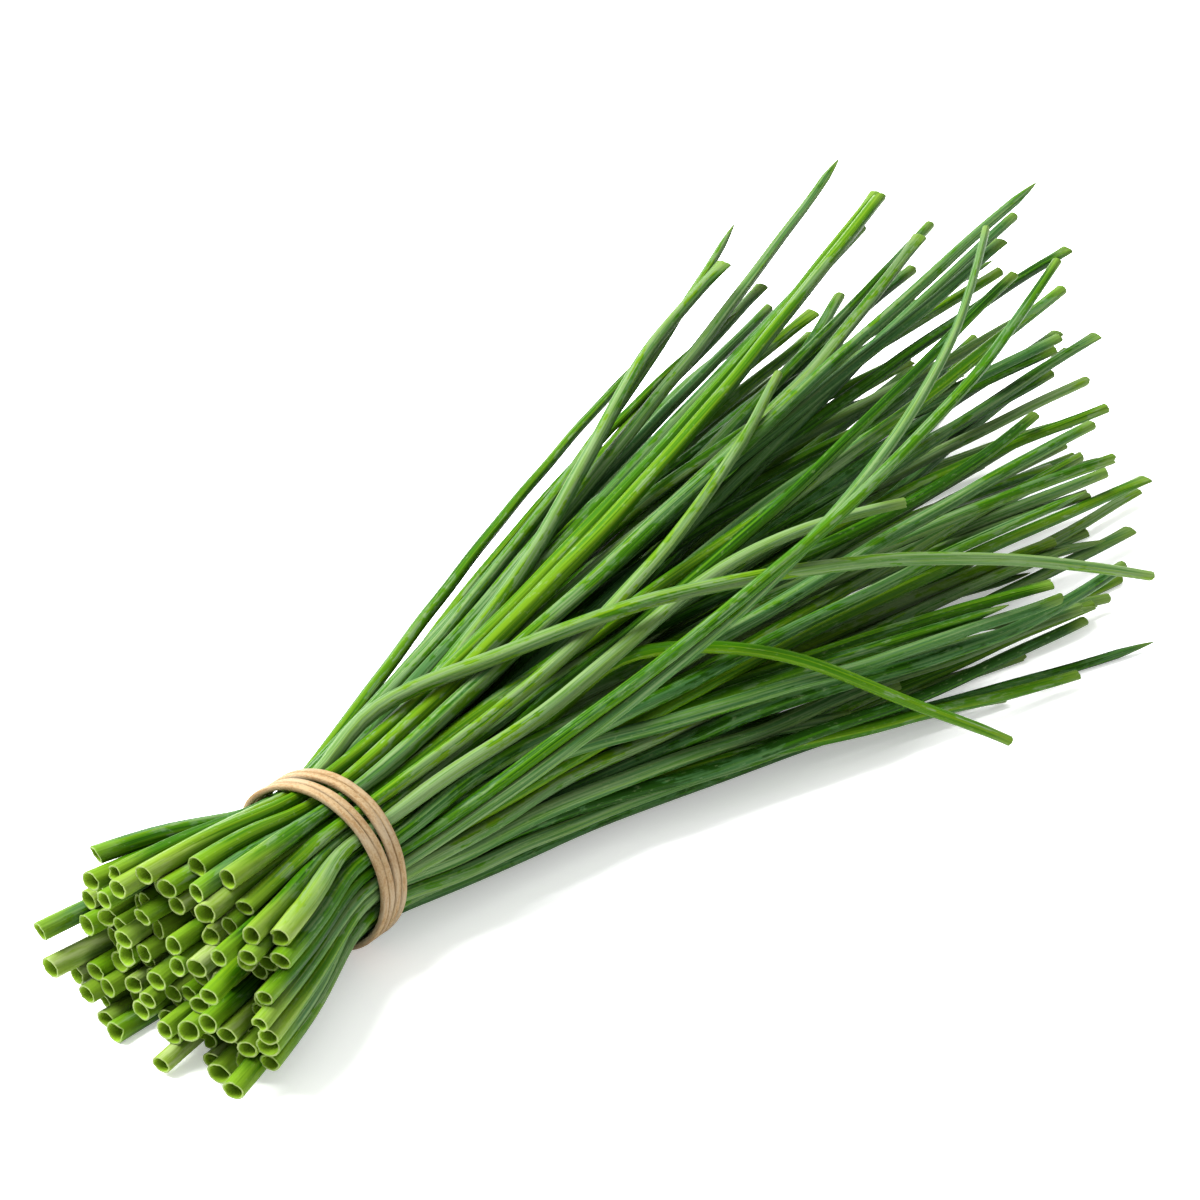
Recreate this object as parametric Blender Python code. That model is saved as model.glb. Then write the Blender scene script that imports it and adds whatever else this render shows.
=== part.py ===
"""A bunch of cut chives, lying down: about a hundred hollow leaves held by a rubber band wound four times.

Metres, +Z up. X runs along the bunch, from the cut ends (-X) to the tips (+X), and the near side is -Y.
The origin is on the surface that the bunch lies on, under the band, on the flat underside of its second turn.
"""

import math
from dataclasses import dataclass

import bmesh
import bpy
import numpy as np
from mathutils import Vector

MM = 0.001
SEED = 84

# The leaves: single ones stand apart, and the rest are in pairs that the band squeezes together.
PAIRS = 45
LEAF_RADIUS = 1.40 * MM
LEAF_RADIUS_SPREAD = 0.10
PAIR_SQUEEZE = 0.78
BASE_SWELL = 1.28
BLUNT_TIP = 0.70
POINTED_TIP = 0.60
POINTED_SHARE = 0.16
LEAF_WALL = 0.6 * MM
BORE_DEPTH = 12 * MM
BORE_TAPER = 0.55
SHORTEST_EDGE = 0.004 * MM

# The fan of the pairs' headings at their tips, in degrees from X towards the far side.
FAN_LOW = -19.5
FAN_MIDDLE = 3.5
FAN_HIGH = 14.5

# The stations of a leaf: shares of its cut side, the ends of its grip in the band, shares of its tip side.
CUT_STATIONS = (1.0, 0.55)
TIP_STATIONS = (0.12, 0.25, 0.39, 0.54, 0.69, 0.84, 1.0)
CUT_GRIP = 4.3 * MM
TIP_GRIP = 5.5 * MM
STATIONS = len(CUT_STATIONS) + 2 + len(TIP_STATIONS)
FIRST_GRIP = len(CUT_STATIONS)
FIRST_TIP = FIRST_GRIP + 2

# The rubber band.
BUNDLE_RADIUS = 16.3 * MM
BAND_CLEARANCE = 0.3 * MM
STRAND_WIDTH = 1.6 * MM
STRAND_FLAT = 1.0 * MM
STRAND_THICKNESS = 1.3 * MM
STRAND_PITCH = 1.72 * MM
PAIR_GAP = 1.6 * MM
PAIR_GAP_CLOCK = 112.0
PAIR_GAP_SPAN = 50.0
TURNS = 4
STEPS_A_TURN = 20
HALF_STEP = math.pi / STEPS_A_TURN
START_STEP = -4
CROSSING_STEPS = 3
CROSSING_LIFT = 1.7 * MM
RISE_STEPS = 1
BAND_RADIUS = BUNDLE_RADIUS + BAND_CLEARANCE + STRAND_THICKNESS / 2
BAND_HEIGHT = (BAND_RADIUS + STRAND_THICKNESS / 2) * math.cos(HALF_STEP)
RESTING_TURN = 1.75 - START_STEP / STEPS_A_TURN
LOOP_TURN = 0.31
LOOP_SPAN = 0.055
LOOP_OUT = 0.9 * MM
LOOP_LIFT = 0.2 * MM

# How the leaves settle against each other and the surface below.
LEAF_GAP = 0.12 * MM
FLOOR_GAP = 0.03 * MM
SETTLING_ROUNDS = 260
CLEARING_ROUNDS = 400
CLEAR_ENOUGH = 0.35 * LEAF_GAP
REACH = 1.6 * MM
ROUNDS_A_SEARCH = 10
HEAVY = 0.35


@dataclass(frozen=True)
class Stray:
    """A leaf that stands apart. Its seat in the band is a clock angle, from the far side (+Y) over the top,
    and a share of the way out. It heads off at yaw and pitch, then swings sideways and lifts by its tip."""

    name: str
    clock: float
    share: float
    yaw: float
    pitch: float
    swing: float
    lift: float
    length: float
    girth: float = 0.95
    pointed: bool = False
    curl: float = 2.0
    knee: float = 0.0
    drop: float = 2.0


STRAYS = (
    Stray("leaf_far_thin", 30, 0.95, 17.4, 4.0, -8 * MM, -12 * MM, 206 * MM, girth=0.80),
    Stray("leaf_far_pointed", 50, 0.95, 8.7, 4.0, 20 * MM, 5 * MM, 216 * MM, girth=0.80, pointed=True),
    Stray("leaf_far_longest", 62, 0.80, 9.5, 4.5, 16 * MM, -4 * MM, 263 * MM, pointed=True),
    Stray("leaf_far_long", 76, 0.92, 5.5, 4.0, 18 * MM, 0.0, 246 * MM, girth=1.0),
    Stray("leaf_curled", 45, 0.60, 19.0, 5.0, -30 * MM, 0.0, 206 * MM, girth=0.75, pointed=True),
    Stray("leaf_over_steep", 175, 0.90, -14.0, 13.5, 78 * MM, -18 * MM, 242 * MM, girth=0.80, curl=2.4),
    Stray("leaf_over_bright", 160, 0.90, -13.0, 13.5, 48 * MM, -16 * MM, 234 * MM, girth=0.85, curl=2.4),
    Stray("leaf_top_short", 120, 0.95, -9.0, 8.0, 44 * MM, -4 * MM, 166 * MM, girth=0.90),
    Stray("leaf_drooping", 165, 0.70, -6.0, 10.6, -47 * MM, -41 * MM, 137 * MM, girth=0.95, curl=1.0,
          knee=0.6, drop=1.35),
    Stray("leaf_sweeping", 70, 0.95, -4.0, 9.5, -62 * MM, -42 * MM, 188 * MM, girth=1.0, curl=1.4,
          knee=0.1, drop=2.5),
    Stray("leaf_low_pointed", 225, 0.95, -10.0, 1.0, -26 * MM, -12 * MM, 190 * MM, pointed=True),
    Stray("leaf_low_near", 195, 0.97, -4.0, -1.0, -32 * MM, -9 * MM, 150 * MM),
    Stray("leaf_low_middle", 180, 0.97, -2.0, 1.0, -31 * MM, -18 * MM, 194 * MM),
    Stray("leaf_low_far", 170, 0.80, -6.5, 1.0, -5 * MM, -7 * MM, 225 * MM, girth=1.0),
)
LEAVES = len(STRAYS) + 2 * PAIRS


def stray_values(name):
    """One value of every stray, in order."""
    return np.array([getattr(stray, name) for stray in STRAYS], dtype=float)


def leaf_partners():
    """For each leaf, the leaf that it is squeezed against, or -1 for a stray."""
    partner = np.full(LEAVES, -1)
    first = np.arange(len(STRAYS), LEAVES, 2)
    partner[first] = first + 1
    partner[first + 1] = first
    return partner


def first_seats(rng):
    """Where the leaves start out in the band: strays at their own seats, pairs on a sunflower spiral."""
    seat = np.zeros((LEAVES, 2))
    clock = np.radians(stray_values("clock"))
    out = 0.93 * BUNDLE_RADIUS * stray_values("share")
    seat[:len(STRAYS)] = np.stack([out * np.cos(clock), out * np.sin(clock)], axis=1)
    golden = math.pi * (3 - math.sqrt(5))
    for pair in range(PAIRS):
        out = 0.86 * BUNDLE_RADIUS * math.sqrt((pair + 0.5) / PAIRS)
        centre = out * np.array([math.cos(pair * golden), math.sin(pair * golden)])
        turn = rng.uniform(0, math.pi)
        half = 0.5 * LEAF_RADIUS * np.array([math.cos(turn), math.sin(turn)])
        leaf = len(STRAYS) + 2 * pair
        seat[leaf] = centre + half
        seat[leaf + 1] = centre - half
    return seat


def packed_seats(rng, radii, partner):
    """Pushes the seats apart until they fit side by side in the band, with each pair squeezed together."""
    seat = first_seats(rng)
    a, b = np.triu_indices(LEAVES, 1)
    mates = partner[a] == b
    reach = np.where(mates, PAIR_SQUEEZE * (radii[a] + radii[b]), radii[a] + radii[b] + LEAF_GAP)
    ease = np.where(np.arange(LEAVES) < len(STRAYS), 0.3, 1.0)
    for _ in range(1500):
        apart = seat[a] - seat[b]
        distance = np.maximum(np.hypot(apart[:, 0], apart[:, 1]), 1e-7)
        short = np.where(mates, reach - distance, np.maximum(reach - distance, 0))
        push = apart / distance[:, None] * (0.5 * short)[:, None]
        moves = [np.bincount(a, push[:, k], LEAVES) - np.bincount(b, push[:, k], LEAVES) for k in (0, 1)]
        seat += np.stack(moves, axis=1) * (0.55 * ease)[:, None]
        out = np.hypot(seat[:, 0], seat[:, 1])
        seat *= np.minimum(1, (BUNDLE_RADIUS - radii) / out)[:, None]
        if np.abs(short).max() < 0.01 * MM:
            break
    return seat


def eased(run, ease):
    """The distance over which a leaf has spread after a run, when it leaves the band straight."""
    return run - ease * (1 - np.exp(-run / ease))


def wished_routes(rng):
    """Where each leaf would lie if it met no other leaf: its stations, and its radius at each."""
    girth = rng.uniform(1 - LEAF_RADIUS_SPREAD, 1 + LEAF_RADIUS_SPREAD, LEAVES)
    girth[:len(STRAYS)] = stray_values("girth")
    radii = LEAF_RADIUS * girth
    partner = leaf_partners()
    seat = packed_seats(rng, radii, partner)
    across, up = (seat / BUNDLE_RADIUS).T

    def noise(spread):
        return rng.normal(0, spread, LEAVES)

    # The leaves fan out in order of their seats, evenly enough to leave no hole, and swing to their headings.
    steep = np.where(across > 0, 10.5, 18.0)
    yaw = np.clip(FAN_MIDDLE + steep * across + 3.0 * up + noise(2.8), -17.0, 16.0)
    pitch = 1.8 + 4.0 * up + 4.0 * np.minimum(across, 0) + noise(2.2)
    order = np.argsort(np.argsort(across + 0.3 * up + noise(0.42)))
    heading = FAN_LOW + (FAN_HIGH - FAN_LOW) * (order + 0.5) / LEAVES + noise(1.0)
    nearer = np.maximum(FAN_MIDDLE - heading, 0)
    further = np.maximum(heading - 3, 0)
    length = (264 - 1.2 * nearer - 0.12 * nearer ** 2 - 3.0 * further - np.abs(noise(20))) * MM
    swing = length * (np.tan(np.radians(heading)) - np.tan(np.radians(yaw))) - seat[:, 0]
    swing = np.clip(swing, -46 * MM, 46 * MM)
    lift = (-3.0 + noise(4.0)) * MM
    sway = noise(4.8) * MM
    phase = rng.uniform(0, 2 * math.pi, LEAVES)
    pointed = rng.random(LEAVES) < POINTED_SHARE
    curl, knee, drop = np.full(LEAVES, 2.0), np.zeros(LEAVES), np.full(LEAVES, 2.0)
    own = {"yaw": yaw, "pitch": pitch, "swing": swing, "lift": lift, "length": length,
           "pointed": pointed, "curl": curl, "knee": knee, "drop": drop}
    for name, values in own.items():
        values[:len(STRAYS)] = stray_values(name)
    sway[:len(STRAYS)] = 0
    cut_yaw = np.radians(1.5 - 13.5 * across + noise(1.6))
    cut_pitch = np.radians(-1.0 - 1.0 * up + noise(1.6))
    cut = (43.0 - 4.0 * up + 7.0 * np.maximum(across, 0) * up + noise(3.7)) * MM
    yaw, pitch = np.radians(yaw), np.radians(pitch)

    routes = np.zeros((LEAVES, STATIONS, 3))
    widths = np.zeros((LEAVES, STATIONS))
    routes[:, :, 1] = seat[:, :1]
    routes[:, :, 2] = BAND_HEIGHT + seat[:, 1:]
    for k, share in enumerate(CUT_STATIONS):
        run = share * cut
        out = eased(run, 5.2 * MM)
        routes[:, k, 0] = -run
        routes[:, k, 1] -= np.tan(cut_yaw) * out
        routes[:, k, 2] += np.tan(cut_pitch) * out
        widths[:, k] = radii * (BASE_SWELL if k == 0 else (1 + BASE_SWELL * 2) / 3)
    for k, x in enumerate((-CUT_GRIP, TIP_GRIP)):
        routes[:, FIRST_GRIP + k, 0] = x
        widths[:, FIRST_GRIP + k] = radii
    for k, share in enumerate(TIP_STATIONS, FIRST_TIP):
        run = share * length
        out = eased(run, (10.5 + 3.5 * across) * MM)
        bend = (np.clip(share - knee, 0, 1) / (1 - knee)) ** curl
        wave = sway * share * (np.sin(1.6 * math.pi * share + phase) - np.sin(phase))
        routes[:, k, 0] = run * np.cos(yaw) * np.cos(pitch)
        routes[:, k, 1] += np.tan(yaw) * out + swing * bend + wave
        routes[:, k, 2] += np.tan(pitch) * out + lift * (np.clip(share - knee, 0, 1) / (1 - knee)) ** drop
        loss = np.where(pointed, 1 - POINTED_TIP, 1 - BLUNT_TIP)
        narrowing = np.clip((share - 0.35) / 0.65, 0, 1) ** np.where(pointed, 1.6, 1.2)
        widths[:, k] = radii * (1 - loss * narrowing)
    routes[:, :, 2] = np.maximum(routes[:, :, 2], widths + FLOOR_GAP)
    return routes.round(7), widths.round(7), partner


def nearest_points(p, along_p, q, along_q):
    """For pairs of straight stretches, how far along each one the two are closest, from 0 to 1."""
    between = p - q
    pp = np.einsum("ij,ij->i", along_p, along_p)
    qq = np.einsum("ij,ij->i", along_q, along_q)
    pq = np.einsum("ij,ij->i", along_p, along_q)
    pb = np.einsum("ij,ij->i", along_p, between)
    qb = np.einsum("ij,ij->i", along_q, between)
    spread = pp * qq - pq * pq
    s = np.where(spread > 1e-9 * pp * qq, (pq * qb - pb * qq) / np.maximum(spread, 1e-30), 0.5)
    t = np.clip((pq * np.clip(s, 0, 1) + qb) / qq, 0, 1)
    s = np.clip((pq * t - pb) / pp, 0, 1)
    return s, t


def neighbours(routes, widths, partner):
    """The pairs of half stretches of different leaves that are close enough to touch soon."""
    start = routes[:, :-1].reshape(-1, 3)
    along = routes[:, 1:].reshape(-1, 3) - start
    middle = start + along / 2
    size = np.linalg.norm(along, axis=1) / 2 + np.maximum(widths[:, :-1], widths[:, 1:]).ravel()
    leaf, stretch = np.divmod(np.arange(len(start)), STATIONS - 1)
    found = []
    for first in range(0, len(start), 256):
        rows = np.arange(first, min(first + 256, len(start)))
        distance = np.linalg.norm(middle[rows, None] - middle[None], axis=2)
        close = (distance < size[rows, None] + size[None] + REACH) & (leaf[rows, None] < leaf[None])
        i, j = np.nonzero(close)
        found.append((rows[i], j))
    i, j = np.concatenate([pair[0] for pair in found]), np.concatenate([pair[1] for pair in found])
    s, t = nearest_points(start[i], along[i], start[j], along[j])
    apart = start[i] + along[i] * s[:, None] - start[j] - along[j] * t[:, None]
    thick = np.maximum(widths[:, :-1], widths[:, 1:]).ravel()
    close = np.linalg.norm(apart, axis=1) < thick[i] + thick[j] + REACH
    in_band = (np.abs(stretch - FIRST_GRIP) <= 1)
    fused = (partner[leaf[i]] == leaf[j]) & (in_band[i] | in_band[j])
    i, j = i[close & ~fused], j[close & ~fused]
    halves = np.array([(0, 0), (0, 0.5), (0.5, 0), (0.5, 0.5)])
    i, j = np.repeat(i, 4), np.repeat(j, 4)
    halves = np.tile(halves, (len(i) // 4, 1))
    return leaf[i], stretch[i], halves[:, 0], leaf[j], stretch[j], halves[:, 1]


def settled(routes, widths, partner):
    """Pushes the leaves apart where they would cross, bending each as little and as evenly as it can be."""
    wished = routes.copy()
    ease = np.where(np.arange(LEAVES) < len(STRAYS), HEAVY, 1.0)[:, None, None]
    free = np.ones((1, STATIONS, 1))
    free[:, FIRST_GRIP:FIRST_TIP] = 0
    flat = LEAVES * STATIONS
    for step in range(SETTLING_ROUNDS + CLEARING_ROUNDS):
        if step % ROUNDS_A_SEARCH == 0:
            leaf_a, at_a, half_a, leaf_b, at_b, half_b = neighbours(routes, widths, partner)
        a, along_a = routes[leaf_a, at_a], routes[leaf_a, at_a + 1] - routes[leaf_a, at_a]
        b, along_b = routes[leaf_b, at_b], routes[leaf_b, at_b + 1] - routes[leaf_b, at_b]
        from_a, from_b = a + along_a * half_a[:, None], b + along_b * half_b[:, None]
        s, t = nearest_points(from_a, along_a / 2, from_b, along_b / 2)
        s, t = half_a + s / 2, half_b + t / 2
        apart = a + along_a * s[:, None] - b - along_b * t[:, None]
        distance = np.linalg.norm(apart, axis=1)
        thick_a = widths[leaf_a, at_a] * (1 - s) + widths[leaf_a, at_a + 1] * s
        thick_b = widths[leaf_b, at_b] * (1 - t) + widths[leaf_b, at_b + 1] * t
        short = thick_a + thick_b + LEAF_GAP - distance
        if step >= SETTLING_ROUNDS and short.max() < CLEAR_ENOUGH:
            break
        hit = short > 0
        push = apart[hit] / np.maximum(distance[hit], 1e-7)[:, None] * (0.5 * short[hit])[:, None]
        moves = np.zeros((flat, 3))
        touches = np.zeros(flat)
        for leaf, at, share, sign in ((leaf_a, at_a, s, 1), (leaf_b, at_b, t, -1)):
            share = share[hit]
            station = leaf[hit] * STATIONS + at[hit]
            both = (1 - share) ** 2 + share ** 2
            for step_on, weight in ((0, 1 - share), (1, share)):
                amount = push * (sign * weight / both)[:, None]
                for axis in range(3):
                    moves[:, axis] += np.bincount(station + step_on, amount[:, axis], flat)
                touches += np.bincount(station + step_on, weight, flat)
        moves /= np.maximum(touches, 1)[:, None]
        routes = routes + 1.3 * ease * free * moves.reshape(routes.shape)
        if step < SETTLING_ROUNDS:
            routes = wished + smoothed(routes - wished, 0.30 * (1 - step / SETTLING_ROUNDS) + 0.02)
        routes[:, :, 2] = np.maximum(routes[:, :, 2], widths + FLOOR_GAP)
    return routes


def smoothed(bend, share):
    """Spreads each leaf's bend along it, as its stiffness does, and keeps it straight in the band."""
    soft = bend.copy()
    soft[:, 1:-1] = (bend[:, :-2] + bend[:, 2:]) / 2
    soft[:, -1] = 0.5 * bend[:, -1] + bend[:, -2] - 0.5 * bend[:, -3]
    soft[:, 0] = 0.5 * bend[:, 0] + bend[:, 1] - 0.5 * bend[:, 2]
    bend = bend * (1 - share) + soft * share
    bend[:, FIRST_GRIP:FIRST_TIP] = 0
    return bend


def plain_material(name, colour, roughness):
    """A Principled BSDF of one colour."""
    material = bpy.data.materials.new(name)
    material.use_nodes = True
    shader = material.node_tree.nodes["Principled BSDF"]
    shader.inputs["Base Color"].default_value = (*colour, 1)
    shader.inputs["Roughness"].default_value = roughness
    shader.inputs["Metallic"].default_value = 0
    return material


def tube_mesh(name, points, radii):
    """A six-sided tube with closed ends, from a curve with a bevel."""
    curve = bpy.data.curves.new(name, "CURVE")
    curve.dimensions = "3D"
    curve.bevel_depth = 1.0
    curve.bevel_resolution = 1
    curve.use_fill_caps = True
    spline = curve.splines.new("POLY")
    spline.points.add(len(points) - 1)
    for knot, point, radius in zip(spline.points, points, radii):
        knot.co = (*point, 1)
        knot.radius = radius
    guide = bpy.data.objects.new(name, curve)
    bpy.context.scene.collection.objects.link(guide)
    bpy.context.view_layer.update()
    mesh = bpy.data.meshes.new_from_object(guide.evaluated_get(bpy.context.evaluated_depsgraph_get()))
    bpy.data.objects.remove(guide)
    bpy.data.curves.remove(curve)
    return mesh


def bore_cut_end(shape, start, onward):
    """Sinks a tapered bore into the cut end, so that the leaf shows as a tube."""
    cap = [face for face in shape.faces if abs(face.normal.dot(onward)) > 0.9
           and (face.calc_center_median() - start).length < LEAF_RADIUS]
    end = bmesh.ops.dissolve_faces(shape, faces=cap)["region"][0]
    bmesh.ops.inset_region(shape, faces=[end], thickness=LEAF_WALL, use_even_offset=True)
    sunk = bmesh.ops.extrude_discrete_faces(shape, faces=[end])["faces"][0]
    centre = sunk.calc_center_median()
    for vert in sunk.verts:
        vert.co = centre + (vert.co - centre) * BORE_TAPER + onward * BORE_DEPTH


def leaf_object(name, points, radii, collection):
    """One chive leaf: a tapered tube, open at its cut end."""
    mesh = tube_mesh(name, points, radii)
    shape = bmesh.new()
    shape.from_mesh(mesh)
    bmesh.ops.remove_doubles(shape, verts=shape.verts, dist=0.001 * MM)
    start = Vector(points[0])
    bore_cut_end(shape, start, (Vector(points[1]) - start).normalized())
    bmesh.ops.recalc_face_normals(shape, faces=shape.faces)
    shape.to_mesh(mesh)
    shape.free()
    leaf = bpy.data.objects.new(name, mesh)
    collection.objects.link(leaf)
    return leaf


def joined(leaf, mate, mates):
    """Fuses a leaf with the one that it is squeezed against, and clears the specks that the cut leaves."""
    union = leaf.modifiers.new("squeezed", "BOOLEAN")
    union.operation = "UNION"
    union.solver = "EXACT"
    union.operand_type = "COLLECTION"
    union.collection = mates
    bpy.context.view_layer.update()
    mesh = bpy.data.meshes.new_from_object(leaf.evaluated_get(bpy.context.evaluated_depsgraph_get()))
    shape = bmesh.new()
    shape.from_mesh(mesh)
    bmesh.ops.dissolve_degenerate(shape, dist=SHORTEST_EDGE, edges=shape.edges)
    shape.to_mesh(mesh)
    shape.free()
    leaf.modifiers.clear()
    leaf.data = mesh
    bpy.data.objects.remove(mate)


def finish_leaf(leaf, tone):
    """Gives a leaf its own green, and smooth sides with crisp ends."""
    green = (0.075 + 0.05 * tone, 0.19 + 0.09 * tone, 0.03 + 0.015 * tone)
    leaf.data.materials.clear()
    leaf.data.materials.append(plain_material(leaf.name, green, 0.45))
    leaf.data.shade_smooth()
    leaf.data.set_sharp_from_angle(angle=math.radians(70))


def band_stations():
    """The middle of the strand: clock angle, place along X and radius, four turns and back over itself.

    The strand climbs along X as it is wound, and over the bunch its last two turns part from the first two.
    Low on the far side its end rises over the other turns and crosses back to its start, which bows out.
    """
    stations = []
    crossing = CROSSING_STEPS + 2 * RISE_STEPS
    for step in range(TURNS * STEPS_A_TURN):
        turn = (step + 0.5) / STEPS_A_TURN
        clock = 2 * math.pi * (turn + START_STEP / STEPS_A_TURN)
        back = min(max((CROSSING_STEPS + RISE_STEPS - step) / CROSSING_STEPS, 0), 1)
        if step < crossing:
            lift = min(1, (crossing - step) / RISE_STEPS)
            wound = turn + TURNS * smooth_step(back)
        else:
            lift = max(0, (step + RISE_STEPS - TURNS * STEPS_A_TURN) / RISE_STEPS)
            wound = turn
        loop = math.exp(-((turn - LOOP_TURN) / LOOP_SPAN) ** 2)
        off_middle = (math.degrees(clock) - PAIR_GAP_CLOCK + 180) % 360 - 180
        parting = PAIR_GAP * math.exp(-(off_middle / PAIR_GAP_SPAN) ** 2)
        parting *= smooth_step((wound - TURNS / 2) / 0.3 + 0.5)
        x = STRAND_PITCH * (wound - RESTING_TURN) + parting - LOOP_OUT * loop
        lift = max(CROSSING_LIFT * smooth_step(lift), LOOP_LIFT * loop)
        stations.append((clock, x, BAND_RADIUS + lift))
    return stations


def smooth_step(share):
    """Eases from 0 to 1."""
    share = min(max(share, 0), 1)
    return share * share * (3 - 2 * share)


def rubber_band(collection):
    """The band: one closed strand with flat faces inside and out, which stay square to the bunch."""
    half, flat, depth = STRAND_WIDTH / 2, STRAND_FLAT / 2, STRAND_THICKNESS / 2
    profile = ((-half, 0), (-flat, depth), (flat, depth), (half, 0), (flat, -depth), (-flat, -depth))
    shape = bmesh.new()
    rings = []
    for clock, x, radius in band_stations():
        ring = []
        for wide, out in profile:
            reach = radius + out
            height = BAND_HEIGHT + reach * math.sin(clock)
            ring.append(shape.verts.new((x + wide, reach * math.cos(clock), height)))
        rings.append(ring)
    for ring, following in zip(rings, rings[1:] + rings[:1]):
        for k, vert in enumerate(ring):
            beside = (k + 1) % len(ring)
            shape.faces.new((vert, following[k], following[beside], ring[beside]))
    bmesh.ops.recalc_face_normals(shape, faces=shape.faces)
    mesh = bpy.data.meshes.new("rubber_band")
    shape.to_mesh(mesh)
    shape.free()
    band = bpy.data.objects.new("rubber_band", mesh)
    collection.objects.link(band)
    mesh.materials.append(plain_material("rubber_band", (0.54, 0.35, 0.17), 0.6))
    mesh.shade_smooth()
    mesh.set_sharp_from_angle(angle=math.radians(30))


def main():
    """Builds the bunch."""
    for old in list(bpy.data.objects):
        bpy.data.objects.remove(old)
    bunch = bpy.data.collections.new("chive_bunch")
    mates = bpy.data.collections.new("squeezed_mates")
    bpy.context.scene.collection.children.link(bunch)
    bpy.context.scene.collection.children.link(mates)

    rng = np.random.default_rng(SEED)
    routes, widths, partner = wished_routes(rng)
    routes = settled(routes, widths, partner)
    tones = rng.random(LEAVES)

    for leaf, stray in enumerate(STRAYS):
        finish_leaf(leaf_object(stray.name, routes[leaf], widths[leaf], bunch), tones[leaf])
    for pair in range(PAIRS):
        first = len(STRAYS) + 2 * pair
        leaf = leaf_object(f"leaf_pair_{pair + 1:02d}", routes[first], widths[first], bunch)
        mate = leaf_object("mate", routes[first + 1], widths[first + 1], mates)
        joined(leaf, mate, mates)
        finish_leaf(leaf, tones[first])
    bpy.data.collections.remove(mates)
    rubber_band(bunch)


main()
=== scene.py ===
"""The looks of a bunch of cut chives that lies on a pale floor.

Each leaf of the frame is replaced by a finer one on the same route: a hollow, ribbed tube with an open cut
end, pressed flat where it meets its neighbours. A round rubber strand on the same winding replaces the band.
Metres, +Z up. X runs along the bunch, from the cut ends (-X) to the tips (+X), and the near side is -Y.
"""

import logging
import math
from dataclasses import dataclass, field
from enum import Enum
from typing import Sequence

import bmesh
import bpy
import numpy as np
from mathutils import Matrix, Vector


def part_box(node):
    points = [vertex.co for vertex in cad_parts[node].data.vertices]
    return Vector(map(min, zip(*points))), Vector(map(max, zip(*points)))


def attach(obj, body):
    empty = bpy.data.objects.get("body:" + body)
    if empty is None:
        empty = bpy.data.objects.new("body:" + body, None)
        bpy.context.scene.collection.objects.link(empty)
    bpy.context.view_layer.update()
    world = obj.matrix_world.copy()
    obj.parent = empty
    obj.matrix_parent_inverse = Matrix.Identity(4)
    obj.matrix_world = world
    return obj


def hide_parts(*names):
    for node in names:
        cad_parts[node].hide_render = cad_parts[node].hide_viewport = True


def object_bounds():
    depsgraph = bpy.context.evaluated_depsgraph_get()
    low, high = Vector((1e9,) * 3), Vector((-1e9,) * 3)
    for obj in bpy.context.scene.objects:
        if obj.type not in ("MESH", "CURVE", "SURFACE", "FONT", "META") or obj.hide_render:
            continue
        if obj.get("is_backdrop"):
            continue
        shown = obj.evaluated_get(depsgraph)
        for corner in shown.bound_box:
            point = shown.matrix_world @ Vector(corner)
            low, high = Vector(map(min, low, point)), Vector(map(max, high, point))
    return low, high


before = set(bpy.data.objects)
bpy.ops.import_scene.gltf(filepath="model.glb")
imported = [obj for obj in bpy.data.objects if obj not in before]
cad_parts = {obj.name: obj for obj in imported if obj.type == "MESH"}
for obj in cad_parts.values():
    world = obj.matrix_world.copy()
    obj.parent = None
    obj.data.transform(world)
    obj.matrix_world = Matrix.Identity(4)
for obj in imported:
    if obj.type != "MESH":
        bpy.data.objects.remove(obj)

log = logging.getLogger("chive_bunch")

MM = 0.001
BODY = "root"
Colour = tuple[float, float, float]


def paint(red: int, green: int, blue: int) -> Colour:
    """A screen colour, 0 to 255 each, as shares of full light: the curve that screens use, undone."""
    parts = (red, green, blue)
    return tuple(((part / 255 + 0.055) / 1.055) ** 2.4 if part > 10 else part / 255 / 12.92 for part in parts)


FULL_LIGHT = 4.0


def lit(red: int, green: int, blue: int) -> Colour:
    """A thing's own colour, from the screen colour that it has where the studio's light falls full on it."""
    return tuple(part / FULL_LIGHT for part in paint(red, green, blue))


# -------------------- where the leaves lie


@dataclass(frozen=True)
class Stray:
    """A leaf that stands apart.

    Its seat in the band is a clock angle, from the far side (+Y) over the top, and a share of the way out.
    It heads off at yaw and pitch, then swings sideways and lifts by its tip.
    """

    name: str
    clock: float
    share: float
    yaw: float
    pitch: float
    swing: float
    lift: float
    length: float
    girth: float = 0.95
    pointed: bool = False
    curl: float = 2.0
    knee: float = 0.0
    drop: float = 2.0


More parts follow.
